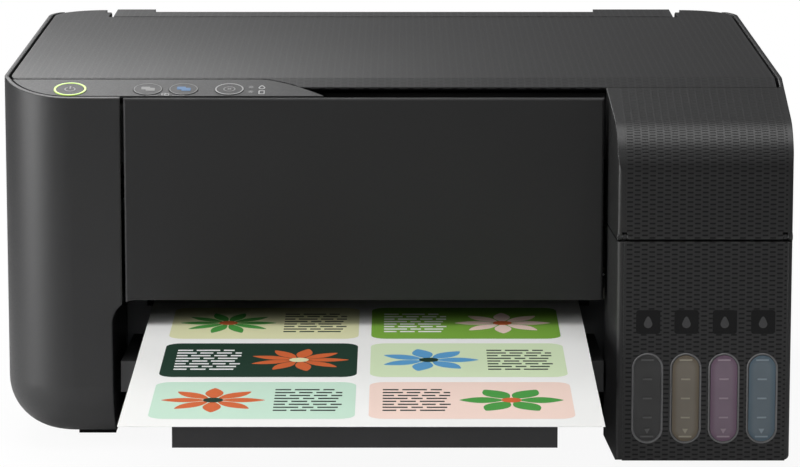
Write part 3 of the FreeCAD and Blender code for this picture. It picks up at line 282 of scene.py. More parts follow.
def glowing(name, colour, strength):
    """A light guide of clear plastic that a lamp shines through, a little unevenly."""
    made, tree, place = new_material(name)
    cloud = add_node(tree, "ShaderNodeTexNoise", {"Vector": place.outputs["Object"], "Scale": 1 / (3 * MM)})
    level = add_node(tree, "ShaderNodeMapRange", {
        "Value": cloud, "To Min": strength * 0.9, "To Max": strength * 1.1,
    })
    shader = add_node(tree, "ShaderNodeBsdfPrincipled", {
        "Base Color": colour, "Roughness": 0.3, "Emission Color": colour, "Emission Strength": level,
    })
    add_node(tree, "ShaderNodeOutputMaterial", {"Surface": shader})
    return made


def clear_glass(name):
    """Float glass: green at its edges, polished, with a faint unevenness."""
    made, tree, place = new_material(name)
    wave = add_node(tree, "ShaderNodeTexNoise", {"Vector": place.outputs["Object"], "Scale": 1 / (80 * MM)})
    bump = add_node(tree, "ShaderNodeBump", {"Height": wave, "Distance": 0.01 * MM})
    shader = add_node(tree, "ShaderNodeBsdfPrincipled", {
        "Base Color": linear("#e3efe9"), "Roughness": 0.03, "IOR": 1.5, "Transmission Weight": 1.0,
        "Normal": bump,
    })
    add_node(tree, "ShaderNodeOutputMaterial", {"Surface": shader})
    return made


def window_edge_painted_shade(tree, place, tone, x, code):
    """Mixes in painted shade towards the rounded border of a tank window, darker as on the falling edge of a
    domed lens.
    """
    radius = WINDOW_RADIUS * MM
    straight = (WINDOW_HIGH - WINDOW_LOW) / 2 * MM - radius
    point = add_node(tree, "ShaderNodeSeparateXYZ", {0: place.outputs["Object"]}).outputs
    side = add_node(tree, "ShaderNodeMath", {0: point["X"], 1: x * MM}, operation="SUBTRACT")
    rise = add_node(tree, "ShaderNodeMath", {0: point["Z"], 1: WINDOW_MIDDLE * MM}, operation="SUBTRACT")
    rise = add_node(tree, "ShaderNodeMath", {0: rise}, operation="ABSOLUTE")
    rise = add_node(tree, "ShaderNodeMath", {0: rise, 1: straight}, operation="SUBTRACT")
    rise = add_node(tree, "ShaderNodeMath", {0: rise, 1: 0.0}, operation="MAXIMUM")
    flat = add_node(tree, "ShaderNodeCombineXYZ", {0: side, 1: rise})
    out = add_node(tree, "ShaderNodeVectorMath", {0: flat}, operation="LENGTH").outputs["Value"]
    near = add_node(tree, "ShaderNodeMapRange", {
        "Value": out, "From Min": radius * 0.45, "From Max": radius,
    }, interpolation_type="SMOOTHSTEP")
    mixed = add_node(tree, "ShaderNodeMix", {0: near, MIX_A: tone, MIX_B: linear(code)}, data_type="RGBA")
    return mixed.outputs[MIX_RESULT]


def tinted_tank(name, code, x=None, painted_edge_shade=None):
    """Smoked polypropylene with ink behind it: milky, its tone clouded at random. A window at a place
    across the tank block also gets painted shade, darker towards its border than in its middle."""
    made, tree, place = new_material(name)
    cloud = add_node(tree, "ShaderNodeTexNoise", {
        "Vector": place.outputs["Object"], "Scale": 1 / (14 * MM), "Detail": 2.0,
    })
    tone = add_node(tree, "ShaderNodeMix", {
        0: cloud, MIX_A: toned(linear(code), 0.88), MIX_B: toned(linear(code), 1.12),
    }, data_type="RGBA").outputs[MIX_RESULT]
    # A window's border tone is painted shade
    if painted_edge_shade:
        tone = window_edge_painted_shade(tree, place, tone, x, painted_edge_shade)
    fine = add_node(tree, "ShaderNodeTexNoise", {"Vector": place.outputs["Object"], "Scale": 1 / (1.2 * MM)})
    bump = add_node(tree, "ShaderNodeBump", {"Height": fine, "Distance": 0.008 * MM})
    shader = add_node(tree, "ShaderNodeBsdfPrincipled", {
        "Base Color": tone, "Roughness": 0.42, "Normal": bump, "Specular IOR Level": 0.4,
    })
    add_node(tree, "ShaderNodeOutputMaterial", {"Surface": shader})
    return made


def paper(name, code):
    """Uncoated office paper: white, with a faint fibre cloud and a dry sheen."""
    return moulded(name, linear(code), 0.8, grain=0.7, depth=0.008, mottle=0.025, edge=0.05, specular=0.15)


def pad_print(name, colour, roughness=0.5, specular=0.5):
    """Pad print: a thin matt film of ink with crisp edges."""
    return moulded(name, colour, roughness, edge=0.02, specular=specular)


def paint(verts, index):
    """Gives the faces round some vertices a material by its number."""
    for face in {face for vert in verts for face in vert.link_faces}:
        face.material_index = index


def add_disc(bm, at, radii, index=0, layer=0.0, segments=48):
    """A filled circle or ellipse in the plane of the marks, in millimetres."""
    spot = Matrix.Translation((at[0], at[1], layer)) @ Matrix.Diagonal((radii[0], radii[1], 1, 1))
    made = bmesh.ops.create_circle(bm, cap_ends=True, segments=segments, radius=1, matrix=spot)
    paint(made["verts"], index)
    return made["verts"]


def add_bar(bm, at, size, index=0, layer=0.0, corner=0.0, turn=0.0):
    """A rectangle, with rounded corners where a corner radius is given."""
    spot = Matrix.Translation((at[0], at[1], layer)) @ Matrix.Rotation(turn, 4, "Z")
    spot = spot @ Matrix.Diagonal((size[0] / 2, size[1] / 2, 1, 1))
    verts = bmesh.ops.create_grid(bm, x_segments=1, y_segments=1, size=1, matrix=spot)["verts"]
    paint(verts, index)
    if corner:
        bmesh.ops.bevel(bm, geom=verts, offset=corner, segments=5, profile=0.5, affect="VERTICES",
                        material=-1)


def add_ring(bm, at, outer, inner, index=0):
    """A flat ring between two radii."""
    loops = []
    for radius in (outer, inner):
        spot = Matrix.Translation((at[0], at[1], 0))
        made = bmesh.ops.create_circle(bm, cap_ends=False, segments=64, radius=radius, matrix=spot)
        loops += made["verts"]
    bmesh.ops.bridge_loops(bm, edges=loop_edges(loops))
    paint(loops, index)


def add_arc(bm, at, outer, inner, start, angle):
    """A part of a flat ring, swept from a start angle."""
    ends = [bm.verts.new((at[0] + r * math.cos(start), at[1] + r * math.sin(start), 0))
            for r in (inner, outer)]
    edge = bm.edges.new(ends)
    bmesh.ops.spin(bm, geom=[edge, *ends], cent=(at[0], at[1], 0), axis=(0, 0, 1), angle=angle, steps=28,
                   use_merge=False)


def add_drop(bm, at, size, index=0, layer=0.0):
    """A drop of ink: a disc whose top is drawn out to a point."""
    radius = size * 0.36
    for vert in add_disc(bm, at, (radius, radius), index, layer, 32):
        rise = vert.co.y - at[1]
        if rise > 0:
            pull = rise / radius
            vert.co.y = at[1] + rise * (1 + 0.75 * pull)
            vert.co.x = at[0] + (vert.co.x - at[0]) * (1 - 0.25 * pull)


def add_leaf(bm, at, length, width, turn, index, layer):
    """A plain leaf: an ellipse whose ends come to points."""
    verts = add_disc(bm, (0, 0), (length / 2, width / 2), index, layer, 32)
    for vert in verts:
        share = abs(vert.co.x) / (length / 2)
        vert.co.y *= 1 - share ** 2 * 0.55
    spin = Matrix.Translation((at[0], at[1], 0)) @ Matrix.Rotation(turn, 4, "Z")
    bmesh.ops.transform(bm, matrix=spin, verts=verts)


def add_flower(bm, at, count, petal, heart, layers):
    """A plain flower: petals that just clear one another, and a disc over their inner ends."""
    reach, length, heart_radius = 13, 20, 4.5
    width = 1.5 * reach * math.tan(math.pi / count)
    for number in range(count):
        turn = math.tau * number / count
        middle = (at[0] + reach * math.cos(turn), at[1] + reach * math.sin(turn))
        add_leaf(bm, middle, length, width, turn, petal, layers[0])
    add_disc(bm, at, (heart_radius, heart_radius), heart, layers[1])


def add_words(bm, left, right, first, rows, index, layer):
    """A paragraph of dashes in place of words, from its first line towards the front."""
    lengths, pitch, gap, height, shortest = cycle((7, 11, 5, 9, 6)), 5.6, 1.7, 2.4, 2
    for row in range(rows):
        x = left
        while right - x > shortest:
            length = min(next(lengths), right - x)
            add_bar(bm, (x + length / 2, first - row * pitch), (length, height), index, layer)
            x += length + gap


def add_stadium(bm, x, grow, height):
    """The edges of an upright round-ended loop round a tank window."""
    segments = 48
    low, high = WINDOW_LOW + WINDOW_RADIUS, WINDOW_HIGH - WINDOW_RADIUS
    spot = Matrix.Rotation(math.pi / segments, 4, "Z")
    made = bmesh.ops.create_circle(bm, cap_ends=False, segments=segments, radius=WINDOW_RADIUS + grow,
                                   matrix=spot)
    for vert in made["verts"]:
        vert.co.y += high if vert.co.y > 0 else low
        vert.co.x += x
        vert.co.z = height
    return loop_edges(made["verts"])


def loop_edges(verts):
    """The edges that join some vertices."""
    return list({edge for vert in verts for edge in vert.link_edges})


def stand(bm, height):
    """Gives flat marks a thickness, so that each is a closed shape."""
    bmesh.ops.recalc_face_normals(bm, faces=bm.faces[:])
    for face in bm.faces:
        if face.normal.z < 0:
            face.normal_flip()
    grown = bmesh.ops.extrude_face_region(bm, geom=bm.faces[:], use_keep_orig=True)["geom"]
    raised = [item for item in grown if isinstance(item, bmesh.types.BMVert)]
    bmesh.ops.translate(bm, verts=raised, vec=(0, 0, height))
    bmesh.ops.recalc_face_normals(bm, faces=bm.faces[:])


def new_piece(name, bm, place, materials, body, smooth=False):
    """Turns a bmesh in millimetres into a piece at its place, riding on a body."""
    bmesh.ops.transform(bm, matrix=Matrix.Scale(MM, 4) @ place, verts=bm.verts[:])
    mesh = bpy.data.meshes.new(name)
    bm.to_mesh(mesh)
    bm.free()
    for made in materials:
        mesh.materials.append(made)
    mesh.polygons.foreach_set("use_smooth", [smooth] * len(mesh.polygons))
    piece = bpy.data.objects.new(name, mesh)
    bpy.context.scene.collection.objects.link(piece)
    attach(piece, body)


def on_panel(height=0.0):
    """The control panel's slope: across, up the slope and out of it."""
    tilted = Matrix.Translation(PANEL_MIDDLE) @ Matrix.Rotation(PANEL_TILT, 4, "X")
    return tilted @ Matrix.Translation((0, 0, height))


def on_tank(height=0.0):
    """The tank block's front: across, up and out towards the front."""
    upright = Matrix.Translation((0, TANK_FACE, 0)) @ Matrix.Rotation(math.pi / 2, 4, "X")
    return upright @ Matrix.Translation((0, 0, height))


def on_sheet(height=0.0):
    """The printed sheet's top: across from its left edge, back from its front edge and up."""
    tilted = Matrix.Translation(SHEET_CORNER) @ Matrix.Rotation(SHEET_TILT, 4, "X")
    return tilted @ Matrix.Translation((0, 0, height))


def dress(names, made):
    """Gives CAD nodes a material."""
    for name in names:
        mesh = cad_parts[name].data
        mesh.materials.clear()
        mesh.materials.append(made)


def colour_property(name, description, code):
    """A colour that a user may change, with its default from an sRGB hex colour."""
    return bpy.props.FloatVectorProperty(
        name=name, description=description, size=4, min=0, max=1, subtype="COLOR", default=linear(code))


class PrinterFinish(bpy.types.PropertyGroup):
    """The printer's main colours and the size of its pressed weave."""

    case: colour_property("Case", "Colour of the case and the tank block", "#1e1e1f")
    front: colour_property("Front", "Colour of the front panel", "#252526")
    panel: colour_property("Control panel", "Colour of the control panel and its buttons", "#262627")
    lid: colour_property("Document cover", "Colour of the document cover", "#242425")
    tank: colour_property("Tank front", "Colour of the tank cover and the plate below it", "#161617")
    ring: colour_property("Power ring", "Colour of the lit ring round the power button", "#a9cf4a")
    weave_column: bpy.props.FloatProperty(
        name="Weave column", description="Width of one column of grooves", default=3.53 * MM, unit="LENGTH")
    weave_step: bpy.props.FloatProperty(
        name="Weave step", description="Distance between grooves in a column", default=2.26 * MM,
        unit="LENGTH")


class PrinterStage(bpy.types.PropertyGroup):
    """The camera."""

    lens: bpy.props.FloatProperty(
        name="Lens", description="Focal length on a 36 mm frame", default=176.6, subtype="DISTANCE_CAMERA")
    camera: bpy.props.FloatVectorProperty(
        name="Camera", description="Where the camera stands", default=(0.00367, -1.90115, 0.4331),
        subtype="TRANSLATION", unit="LENGTH")
    pitch: bpy.props.FloatProperty(
        name="Pitch", description="How far the camera looks down", default=math.radians(9.995),
        subtype="ANGLE")


class PRINTER_OT_case(bpy.types.Operator):
    """Gives the case, tank block and scanner their moulded finishes"""

    bl_idname = "printer.case"
    bl_label = "Case finishes"

    def execute(self, context):
        finish = context.scene.printer_finish
        lid_weave = woven((-182.5, 182.5), shade=0.4, depth=0.02, crown=(130, 1300))
        tank_weave = woven((108.9, 185.0))
        support_weave = woven((-149.0, 149.0))
        dress(("outer_case", "tank_housing"),
              moulded("charcoal_ABS_spark_eroded", finish.case, 0.46, edge=1.2, specular=0.65))
        dress(("front_panel",),
              moulded("charcoal_ABS_matt_front", finish.front, 0.5, edge=0.3, specular=0.4))
        dress(("document_cover",), moulded("charcoal_ABS_woven_lid", finish.lid, 0.46, pattern=lid_weave))
        dress(("tank_cover", "tank_front_plate"),
              moulded("charcoal_ABS_woven_tank", finish.tank, 0.42, edge=0.6, specular=0.7,
                      pattern=tank_weave))
        dress(("paper_support",),
              moulded("charcoal_ABS_woven_support", linear("#2b2b2c"), 0.48, pattern=support_weave))
        dress(("base_case", "scanner_base", "scanner_top", "paper_hopper", "platen", "carriage",
               "cap_station", "edge_guide_left", "edge_guide_right", "scan_head", "print_head"),
              moulded("black_HIPS_moulded", linear("#121213"), 0.55))
        dress(("scanner_glass",), clear_glass("float_glass"))
        dress(("document_pad",), moulded("white_foam_pad", linear("#e9e9e6"), 0.8, grain=1.4, depth=0.05))
        return {"FINISHED"}


class PRINTER_OT_controls(bpy.types.Operator):
    """Gives the control panel, its buttons and the lit ring their finishes"""

    bl_idname = "printer.controls"
    bl_label = "Control finishes"

    def execute(self, context):
        finish = context.scene.printer_finish
        satin = {"roughness": 0.44, "edge": 0.3, "specular": 0.3}
        dress(("control_panel",), moulded("charcoal_ABS_satin_panel", finish.panel, **satin))
        dress([f"{name}_button" for name in BUTTON_X], moulded("charcoal_ABS_buttons", finish.panel, **satin))
        dress(("power_light_ring",), glowing("lime_light_guide", finish.ring, 0.45))
        return {"FINISHED"}


class PRINTER_OT_paper_path(bpy.types.Operator):
    """Gives the trays, the sheet, the rubber and the electrics their finishes"""

    bl_idname = "printer.paper_path"
    bl_label = "Paper path finishes"

    def execute(self, context):
        dress(("tray_extension_outer",), moulded("graphite_ABS_tray", linear("#2c2c2d"), 0.5, edge=0.5))
        # The output tray and the inner extension wear a lighter grey than the outer extension: painted light,
        # as if they were lit more
        dress(("output_tray", "tray_extension_inner"),
              moulded("inner_tray_painted_light", linear("#464647"), 0.5, edge=0.5))
        dress(("printed_sheet",), paper("white_office_paper", "#f6f6f4"))
        dress(("rubber_feet", "pickup_roller", "carriage_belt"),
              moulded("black_rubber_moulded", linear("#0f0f10"), 0.75, grain=0.6, specular=0.2))
        dress(("power_supply",), moulded("black_ABS_supply", linear("#131314"), 0.5))
        dress(("main_board",),
              moulded("green_solder_mask_board", linear("#1d5a37"), 0.35, grain=2.2, coat=0.3,
                      pattern=socket_shell))
        return {"FINISHED"}


class PRINTER_OT_works(bpy.types.Operator):
    """Gives the drive, rails, motors, gears and ink tanks their metal and plastic finishes"""

    bl_idname = "printer.works"
    bl_label = "Works finishes"

    def execute(self, context):
        dress(("main_frame",), metal("galvanised_steel_sheet", "#a9abad", 0.42, line=60, stretch=(1, 1, 1)))
        dress(("carriage_rail", "scan_rail", "hinge_pins", "pinch_rollers", "star_wheels"),
              metal("ground_steel_bar", "#b4b6b8", 0.22))
        dress(("carriage_motor", "feed_motor"), metal("zinc_plated_motor_can", "#9c9ea0", 0.35))
        dress(("housing_screws",), metal("black_oxide_screws", "#2a2a2b", 0.4))
        dress(("idler_gear", "motor_pinion", "motor_pulley", "idler_pulley", "roller_bushes", "feed_roller",
               "exit_roller"), moulded("white_acetal_moulded", linear("#dcdad2"), 0.45))
        for ink in TANK_INKS:
            dress((f"ink_cap_{ink}",), moulded(f"{ink}_polypropylene_cap", linear(INK_COLOURS[ink]), 0.4))
            dress((f"ink_tank_{ink}",), tinted_tank(f"smoked_polypropylene_{ink}", WINDOW_TINTS[ink][0]))
        return {"FINISHED"}


def tube_mesh(name, route, heights, radius, materials):
    """Tubes along one route at several heights, each in a material of its own, as one mesh."""
    curve = bpy.data.curves.new(name, "CURVE")
    curve.dimensions = "3D"
    curve.bevel_depth = radius * MM
    curve.bevel_resolution = 3
    curve.use_fill_caps = True
    for index, height in enumerate(heights):
        spline = curve.splines.new("NURBS")
        spline.points.add(len(route) - 1)
        for point, (x, y) in zip(spline.points, route):
            point.co = (x * MM, y * MM, height * MM, 1)
        spline.order_u = 3
        spline.use_endpoint_u = True
        spline.resolution_u = 16
        spline.material_index = index
    line = bpy.data.objects.new(f"{name}_line", curve)
    for made in materials:
        curve.materials.append(made)
    mesh = bpy.data.meshes.new_from_object(line)
    bpy.data.objects.remove(line)
    bpy.data.curves.remove(curve)
    mesh.polygons.foreach_set("use_smooth", [True] * len(mesh.polygons))
    return mesh


class PRINTER_OT_ink_tubes(bpy.types.Operator):
    """Runs the four ink tubes from the tanks to the carriage, with a second run that follows it"""

    bl_idname = "printer.ink_tubes"
    bl_label = "Ink tubes"

    def execute(self, context):
        lowest, pitch, radius, inlet = 99.2, 2.4, 1.15, 108.8
        heights = [lowest + pitch * index for index in range(len(TANK_INKS))]
        routes = {
            "ink_tubes_still": ((148.8, -39.05), (148.8, 19.45), (120, 19.45), (0, 19.45)),
            "ink_tubes_moving": ((0, 19.45), (-20, 19.45), (-20, 55.45), (0, 55.45), (inlet, 55.45),
                                 (inlet, 60)),
        }
        inks = [moulded(f"{ink}_ink_in_clear_tube", linear(INK_COLOURS[ink]), 0.2, grain=4, coat=0.8)
                for ink in TANK_INKS]
        for name, route in routes.items():
            tubes = bpy.data.objects.new(name, tube_mesh(name, route, heights, radius, inks))
            context.scene.collection.objects.link(tubes)
            if name == "ink_tubes_still":
                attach(tubes, "chassis")
            else:
                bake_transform(tubes)
            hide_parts("ink_tubes")
        return {"FINISHED"}


def button_symbol(name, marks, materials):
    """Prints a symbol on a button, which it moves with."""
    stand(marks, PRINT_HEIGHT)
    new_piece(f"{name}_symbol", marks, on_panel(BUTTON_PROUD), materials, f"{name}_button")


def power_marks(x):
    """A circle with a gap at its top and a stroke in the gap."""
    marks = bmesh.new()
    add_arc(marks, (x, -0.2), 2.7, 2.1, math.radians(120), math.radians(300))
    add_bar(marks, (x, 1.8), (0.7, 3.0))
    return marks


def copy_marks(x):
    """Two pages, one over the other, in a ring."""
    marks = bmesh.new()
    add_ring(marks, (x, 0), 6.75, 6.35, 0)
    add_bar(marks, (x - 1.1, 1.0), (4.2, 3.4), 1, 0, 0.6)
    add_bar(marks, (x + 1.2, -0.6), (4.4, 3.6), 1, 0.05, 0.6)
    return marks


def stop_marks(x):
    """A cross in two rings."""
    marks = bmesh.new()
    add_ring(marks, (x, 0), 6.8, 6.15, 0)
    add_ring(marks, (x, 0), 2.9, 2.4, 1)
    for turn, layer in ((45, 0.02), (-45, 0.04)):
        add_bar(marks, (x, 0), (2.5, 0.6), 1, layer, 0, math.radians(turn))
    return marks


def panel_signs(line, sign, lamp, field):
    """Signs beside the buttons: a bracket and pages under the copy buttons, and two lamps, one with a
    drop and one with a sheet. The numbers are those of the materials."""
    marks = bmesh.new()
    for name, inward in (("mono_copy", 1), ("colour_copy", -1)):
        x = BUTTON_X[name]
        add_bar(marks, (x + inward * 2.2, -7.4), (5.6, 0.45), line)
        add_bar(marks, (x - inward * 0.5, -7.0), (0.4, 1.2), line, 0.01)
    for at, layer in (((-109.0, -5.9), 0), ((-107.5, -6.5), 0.03)):
        add_bar(marks, at, (2.2, 2.6), sign, layer, 0.4)
        add_bar(marks, at, (1.4, 1.6), field, layer + 0.015, 0.2)
    lamp_x, sign_x = -67.6, -62.4
    for y in (2.6, -3.0):
        add_disc(marks, (lamp_x, y), (1.2, 1.7), lamp, 0, 24)
    add_drop(marks, (sign_x, 2.0), 4.6, sign)
    add_drop(marks, (sign_x, 2.0), 2.8, field, 0.02)
    add_bar(marks, (sign_x, -3.6), (3.0, 4.4), sign, 0, 0.4)
    add_bar(marks, (sign_x, -3.6), (1.9, 2.9), field, 0.02, 0.3)
    return marks


class PRINTER_OT_panel_marks(bpy.types.Operator):
    """Prints the symbols on the control panel and its buttons"""

    bl_idname = "printer.panel_marks"
    bl_label = "Panel marks"

    def execute(self, context):
        grey = pad_print("grey_pad_print", linear("#868686"))
        pale = pad_print("pale_pad_print", linear("#a6a6a6"))
        blue = pad_print("blue_pad_print", linear("#3d6f9f"))
        dark = pad_print("dark_lamp_lens", linear("#1a1a1a"), 0.3)
        field = pad_print("charcoal_pad_print", context.scene.printer_finish.panel, 0.44, 0.3)
        button_symbol("power", power_marks(BUTTON_X["power"]), [grey])
        button_symbol("mono_copy", copy_marks(BUTTON_X["mono_copy"]), [grey, grey])
        button_symbol("colour_copy", copy_marks(BUTTON_X["colour_copy"]), [grey, blue])
        button_symbol("stop", stop_marks(BUTTON_X["stop"]), [pale, grey])
        signs = panel_signs(0, 1, 2, 3)
        stand(signs, PRINT_HEIGHT)
        new_piece("panel_symbols", signs, on_panel(), [grey, pale, dark, field], "scanner_unit")
        return {"FINISHED"}


def add_rim(bm, x):
    """A window's rim: loops round its section, each as its growth from the window and its height."""
    section = ((0.75, -0.1), (0.75, 0.1), (0.5, 0.28), (0.2, 0.22), (-0.35, -0.3))
    loops = [add_stadium(bm, x, grow, height) for grow, height in section]
    for near, far in zip(loops, loops[1:] + loops[:1]):
        bmesh.ops.bridge_loops(bm, edges=near + far)


def window_lens(x):
    """A window's lens, crowned in three steps, each as its width and its rise, and closed behind."""
    lens = bmesh.new()
    face = bmesh.ops.contextual_create(lens, geom=add_stadium(lens, x, -0.3, -0.35))["faces"]
    for thickness, rise in ((1.1, 0.26), (1.8, 0.1), (1.6, 0.03)):
        bmesh.ops.inset_region(lens, faces=face, thickness=thickness, depth=rise)
    bmesh.ops.holes_fill(lens, edges=lens.edges[:], sides=0)
    bmesh.ops.recalc_face_normals(lens, faces=lens.faces[:])
    return lens


def add_level_marks(bm, x, index):
    """Five level bars, longer at both ends, and an arrow above the lowest."""
    for rise, length in ((-18.4, 6.0), (-9.2, 4.3), (0, 4.3), (9.2, 4.3), (18.4, 6.0)):
        add_bar(bm, (x, WINDOW_MIDDLE + rise), (length, 0.75), index)
    spot = Matrix.Translation((x, WINDOW_MIDDLE - 15.4, 0)) @ Matrix.Rotation(math.pi, 4, "Z")
    arrow = bmesh.ops.create_circle(bm, cap_ends=True, segments=3, radius=1.6, matrix=spot)
    paint(arrow["verts"], index)


class PRINTER_OT_tank_windows(bpy.types.Operator):
    """Makes the tank windows' lenses and rims, their level marks and the ink labels"""

    bl_idname = "printer.tank_windows"
    bl_label = "Tank windows"

    def execute(self, context):
        # The window rims are painted light grey: a painted highlight on the charcoal plate's rounded hole
        # edges
        rim_painted_highlight = moulded("window_rim_painted_highlight", linear("#747475"), 0.32, edge=0.2, specular=0.6)
        label_finish = moulded("black_gloss_label", linear("#0d0d0e"), 0.45, edge=0.1, specular=0.3)
        drop_finish = pad_print("grey_label_print", linear("#434344"))
        label_height, label_size, drop_height, drop_size = 72.3, 11.4, 71.4, 5.6
        rims, labels, drops, marks = [bmesh.new() for _ in range(4)]
        mark_painted_highlight_finishes = []
        for index, (ink, x) in enumerate(TANK_X.items()):
            tint, painted_edge_shade, mark_painted_highlight = WINDOW_TINTS[ink]
            # Each window's lens darkens towards its border with painted shade
            glass = tinted_tank(f"smoked_window_{ink}", tint, x, painted_edge_shade)
            new_piece(f"tank_lens_{ink}", window_lens(x), on_tank(), [glass], "chassis", True)
            add_rim(rims, x)
            # The raised marks are a lighter copy of their window's tone: a painted highlight on their tops
            mark_painted_highlight_finishes.append(
                moulded(f"raised_mark_painted_highlight_{ink}", linear(mark_painted_highlight), 0.35, edge=0.15, specular=0.6))
            add_level_marks(marks, x, index)
            add_bar(labels, (x, label_height), (label_size, label_size), 0, 0, 1.3)
            add_drop(drops, (x, drop_height), drop_size)
        bmesh.ops.recalc_face_normals(rims, faces=rims.faces[:])
        new_piece("window_rims", rims, on_tank(), [rim_painted_highlight], "chassis", True)
        stand(marks, 0.4)
        new_piece("level_marks", marks, on_tank(-0.1), mark_painted_highlight_finishes, "chassis")
        stand(labels, 0.18)
        new_piece("ink_labels", labels, on_tank(-0.02), [label_finish], "chassis")
        stand(drops, 0.05)
        new_piece("ink_label_drops", drops, on_tank(0.17), [drop_finish], "chassis")
        return {"FINISHED"}


class PRINTER_OT_sheet_print(bpy.types.Operator):
    """Prints a plain page on the sheet: six cards, each with a flower and dashes in place of words"""

    bl_idname = "printer.sheet_print"
    bl_label = "Sheet print"

    def execute(self, context):
        inks = {
            "forest": "#1f3a2d", "leaf": "#4a9a45", "band": "#7fb043", "mint": "#c9e6d3", "cream": "#e4e4b8",
            "blush": "#f4d9cd", "rust": "#d4683a", "sky": "#5d9fd0", "ink": "#2b332f", "pale": "#d8e9c3",
            "white": "#f6f6f4",
        }
        keys = list(inks)
        finishes = [paper(f"{key}_printed_paper", code) for key, code in inks.items()]
        lefts, fronts = (12, 108), (14, 94, 174)
        wide, deep, corner = 90, 70, 7
        flower_side, words_side, words_width = 27, 54, 30
        field_layer, mark_layer, heart_layer = 0, 0.012, 0.024

        # Each card from the front left on: inks of its field, words, petals and heart, and its petals' number
        cards = (
            ("mint", "ink", "rust", "forest", 8), ("blush", "ink", "leaf", "rust", 6),
            ("forest", "white", "rust", "cream", 9), ("pale", "ink", "sky", "forest", 7),
            ("cream", "ink", "leaf", "rust", 10), ("band", "white", "blush", "rust", 8),
        )
        art = bmesh.new()
        places = [(left, front) for front in fronts for left in lefts]
        for (left, front), (*names, count) in zip(places, cards):
            field, word, petal, heart = [keys.index(name) for name in names]
            middle_x, middle_y = left + wide / 2, front + deep / 2
            add_bar(art, (middle_x, middle_y), (wide, deep), field, field_layer, corner)

            # Neighbouring cards have their flowers on opposite sides
            swapped = (lefts.index(left) + fronts.index(front)) % 2
            flower_x = left + (wide - flower_side if swapped else flower_side)
            words_x = left + (wide - words_side - words_width if swapped else words_side)
            add_flower(art, (flower_x, middle_y), count, petal, heart, (mark_layer, heart_layer))
            add_words(art, words_x, words_x + words_width, middle_y + 20, 8, word, mark_layer)
        stand(art, 0.01)
        new_piece("sheet_print", art, on_sheet(0.01), finishes, "printed_sheet")
        return {"FINISHED"}


def studio_world(scene):
    """White behind the printer, little light all round, and a wall that gloss and clear pieces see."""
    world = bpy.data.worlds.new("studio")
    scene.world = world
    world.use_nodes = True
    tree = world.node_tree
    tree.nodes.clear()
    path = add_node(tree, "ShaderNodeLightPath").outputs
    seen = add_node(tree, "ShaderNodeMath", {
        0: path["Is Glossy Ray"], 1: path["Is Transmission Ray"],
    }, operation="MAXIMUM")
    place = add_node(tree, "ShaderNodeTexCoord")
    aim = add_node(tree, "ShaderNodeVectorMath", {
        0: place.outputs["Generated"], 1: (-0.45, 0.6, 1.2),
    }, operation="DOT_PRODUCT").outputs["Value"]
    wall = add_node(tree, "ShaderNodeMapRange", {
        "Value": aim, "From Min": 0.6, "From Max": 1.15, "To Min": 0.04, "To Max": 0.2,
    })
    soft, back, white = [
        add_node(tree, "ShaderNodeBackground", {"Color": WHITE, "Strength": strength})
        for strength in (0.1, wall, 1.0)
    ]
    mirrored = add_node(tree, "ShaderNodeMixShader", {0: seen, 1: soft, 2: back})
    shown = add_node(tree, "ShaderNodeMixShader", {0: path["Is Camera Ray"], 1: mirrored, 2: white})
    add_node(tree, "ShaderNodeOutputWorld", {"Surface": shown})


def paper_sweep(name):
    """White paper that fades into the white behind it, and throws less light back from farther off."""
    made, tree, place = new_material(name)
    path = add_node(tree, "ShaderNodeLightPath").outputs
    seen = add_node(tree, "ShaderNodeMath", {
        0: path["Is Camera Ray"], 1: path["Is Transmission Ray"],
    }, operation="MAXIMUM")
    away = add_node(tree, "ShaderNodeVectorMath", {
        0: place.outputs["Object"],
    }, operation="LENGTH").outputs["Value"]
    bare = add_node(tree, "ShaderNodeMapRange", {
        "Value": away, "From Min": 0.25, "From Max": 1.2, "To Min": 0.93, "To Max": 1.0,
    })
    fade = add_node(tree, "ShaderNodeMath", {0: seen, 1: bare}, operation="MULTIPLY")
    far = add_node(tree, "ShaderNodeMapRange", {"Value": away, "From Min": 0.3, "From Max": 0.75})
    lit = add_node(tree, "ShaderNodeMix", {
        0: far, MIX_A: linear("#efefef"), MIX_B: linear("#9c9c9c"),
    }, data_type="RGBA").outputs[MIX_RESULT]
    tone = add_node(tree, "ShaderNodeMix", {
        0: path["Is Camera Ray"], MIX_A: lit, MIX_B: linear("#f7f7f7"),
    }, data_type="RGBA").outputs[MIX_RESULT]
    matte = add_node(tree, "ShaderNodeBsdfDiffuse", {"Color": tone})
    glow = add_node(tree, "ShaderNodeEmission", {"Color": WHITE, "Strength": 1.0})
    blend = add_node(tree, "ShaderNodeMixShader", {0: fade, 1: matte, 2: glow})
    add_node(tree, "ShaderNodeOutputMaterial", {"Surface": blend})
    return made


def studio_floor(scene):
    """A wide round floor under the printer."""
    ground = bmesh.new()
    bmesh.ops.create_circle(ground, cap_ends=True, segments=96, radius=30)
    mesh = bpy.data.meshes.new("studio_floor")
    ground.to_mesh(mesh)
    ground.free()
    mesh.materials.append(paper_sweep("white_paper_sweep"))
    floor = bpy.data.objects.new("studio_floor", mesh)
    scene.collection.objects.link(floor)


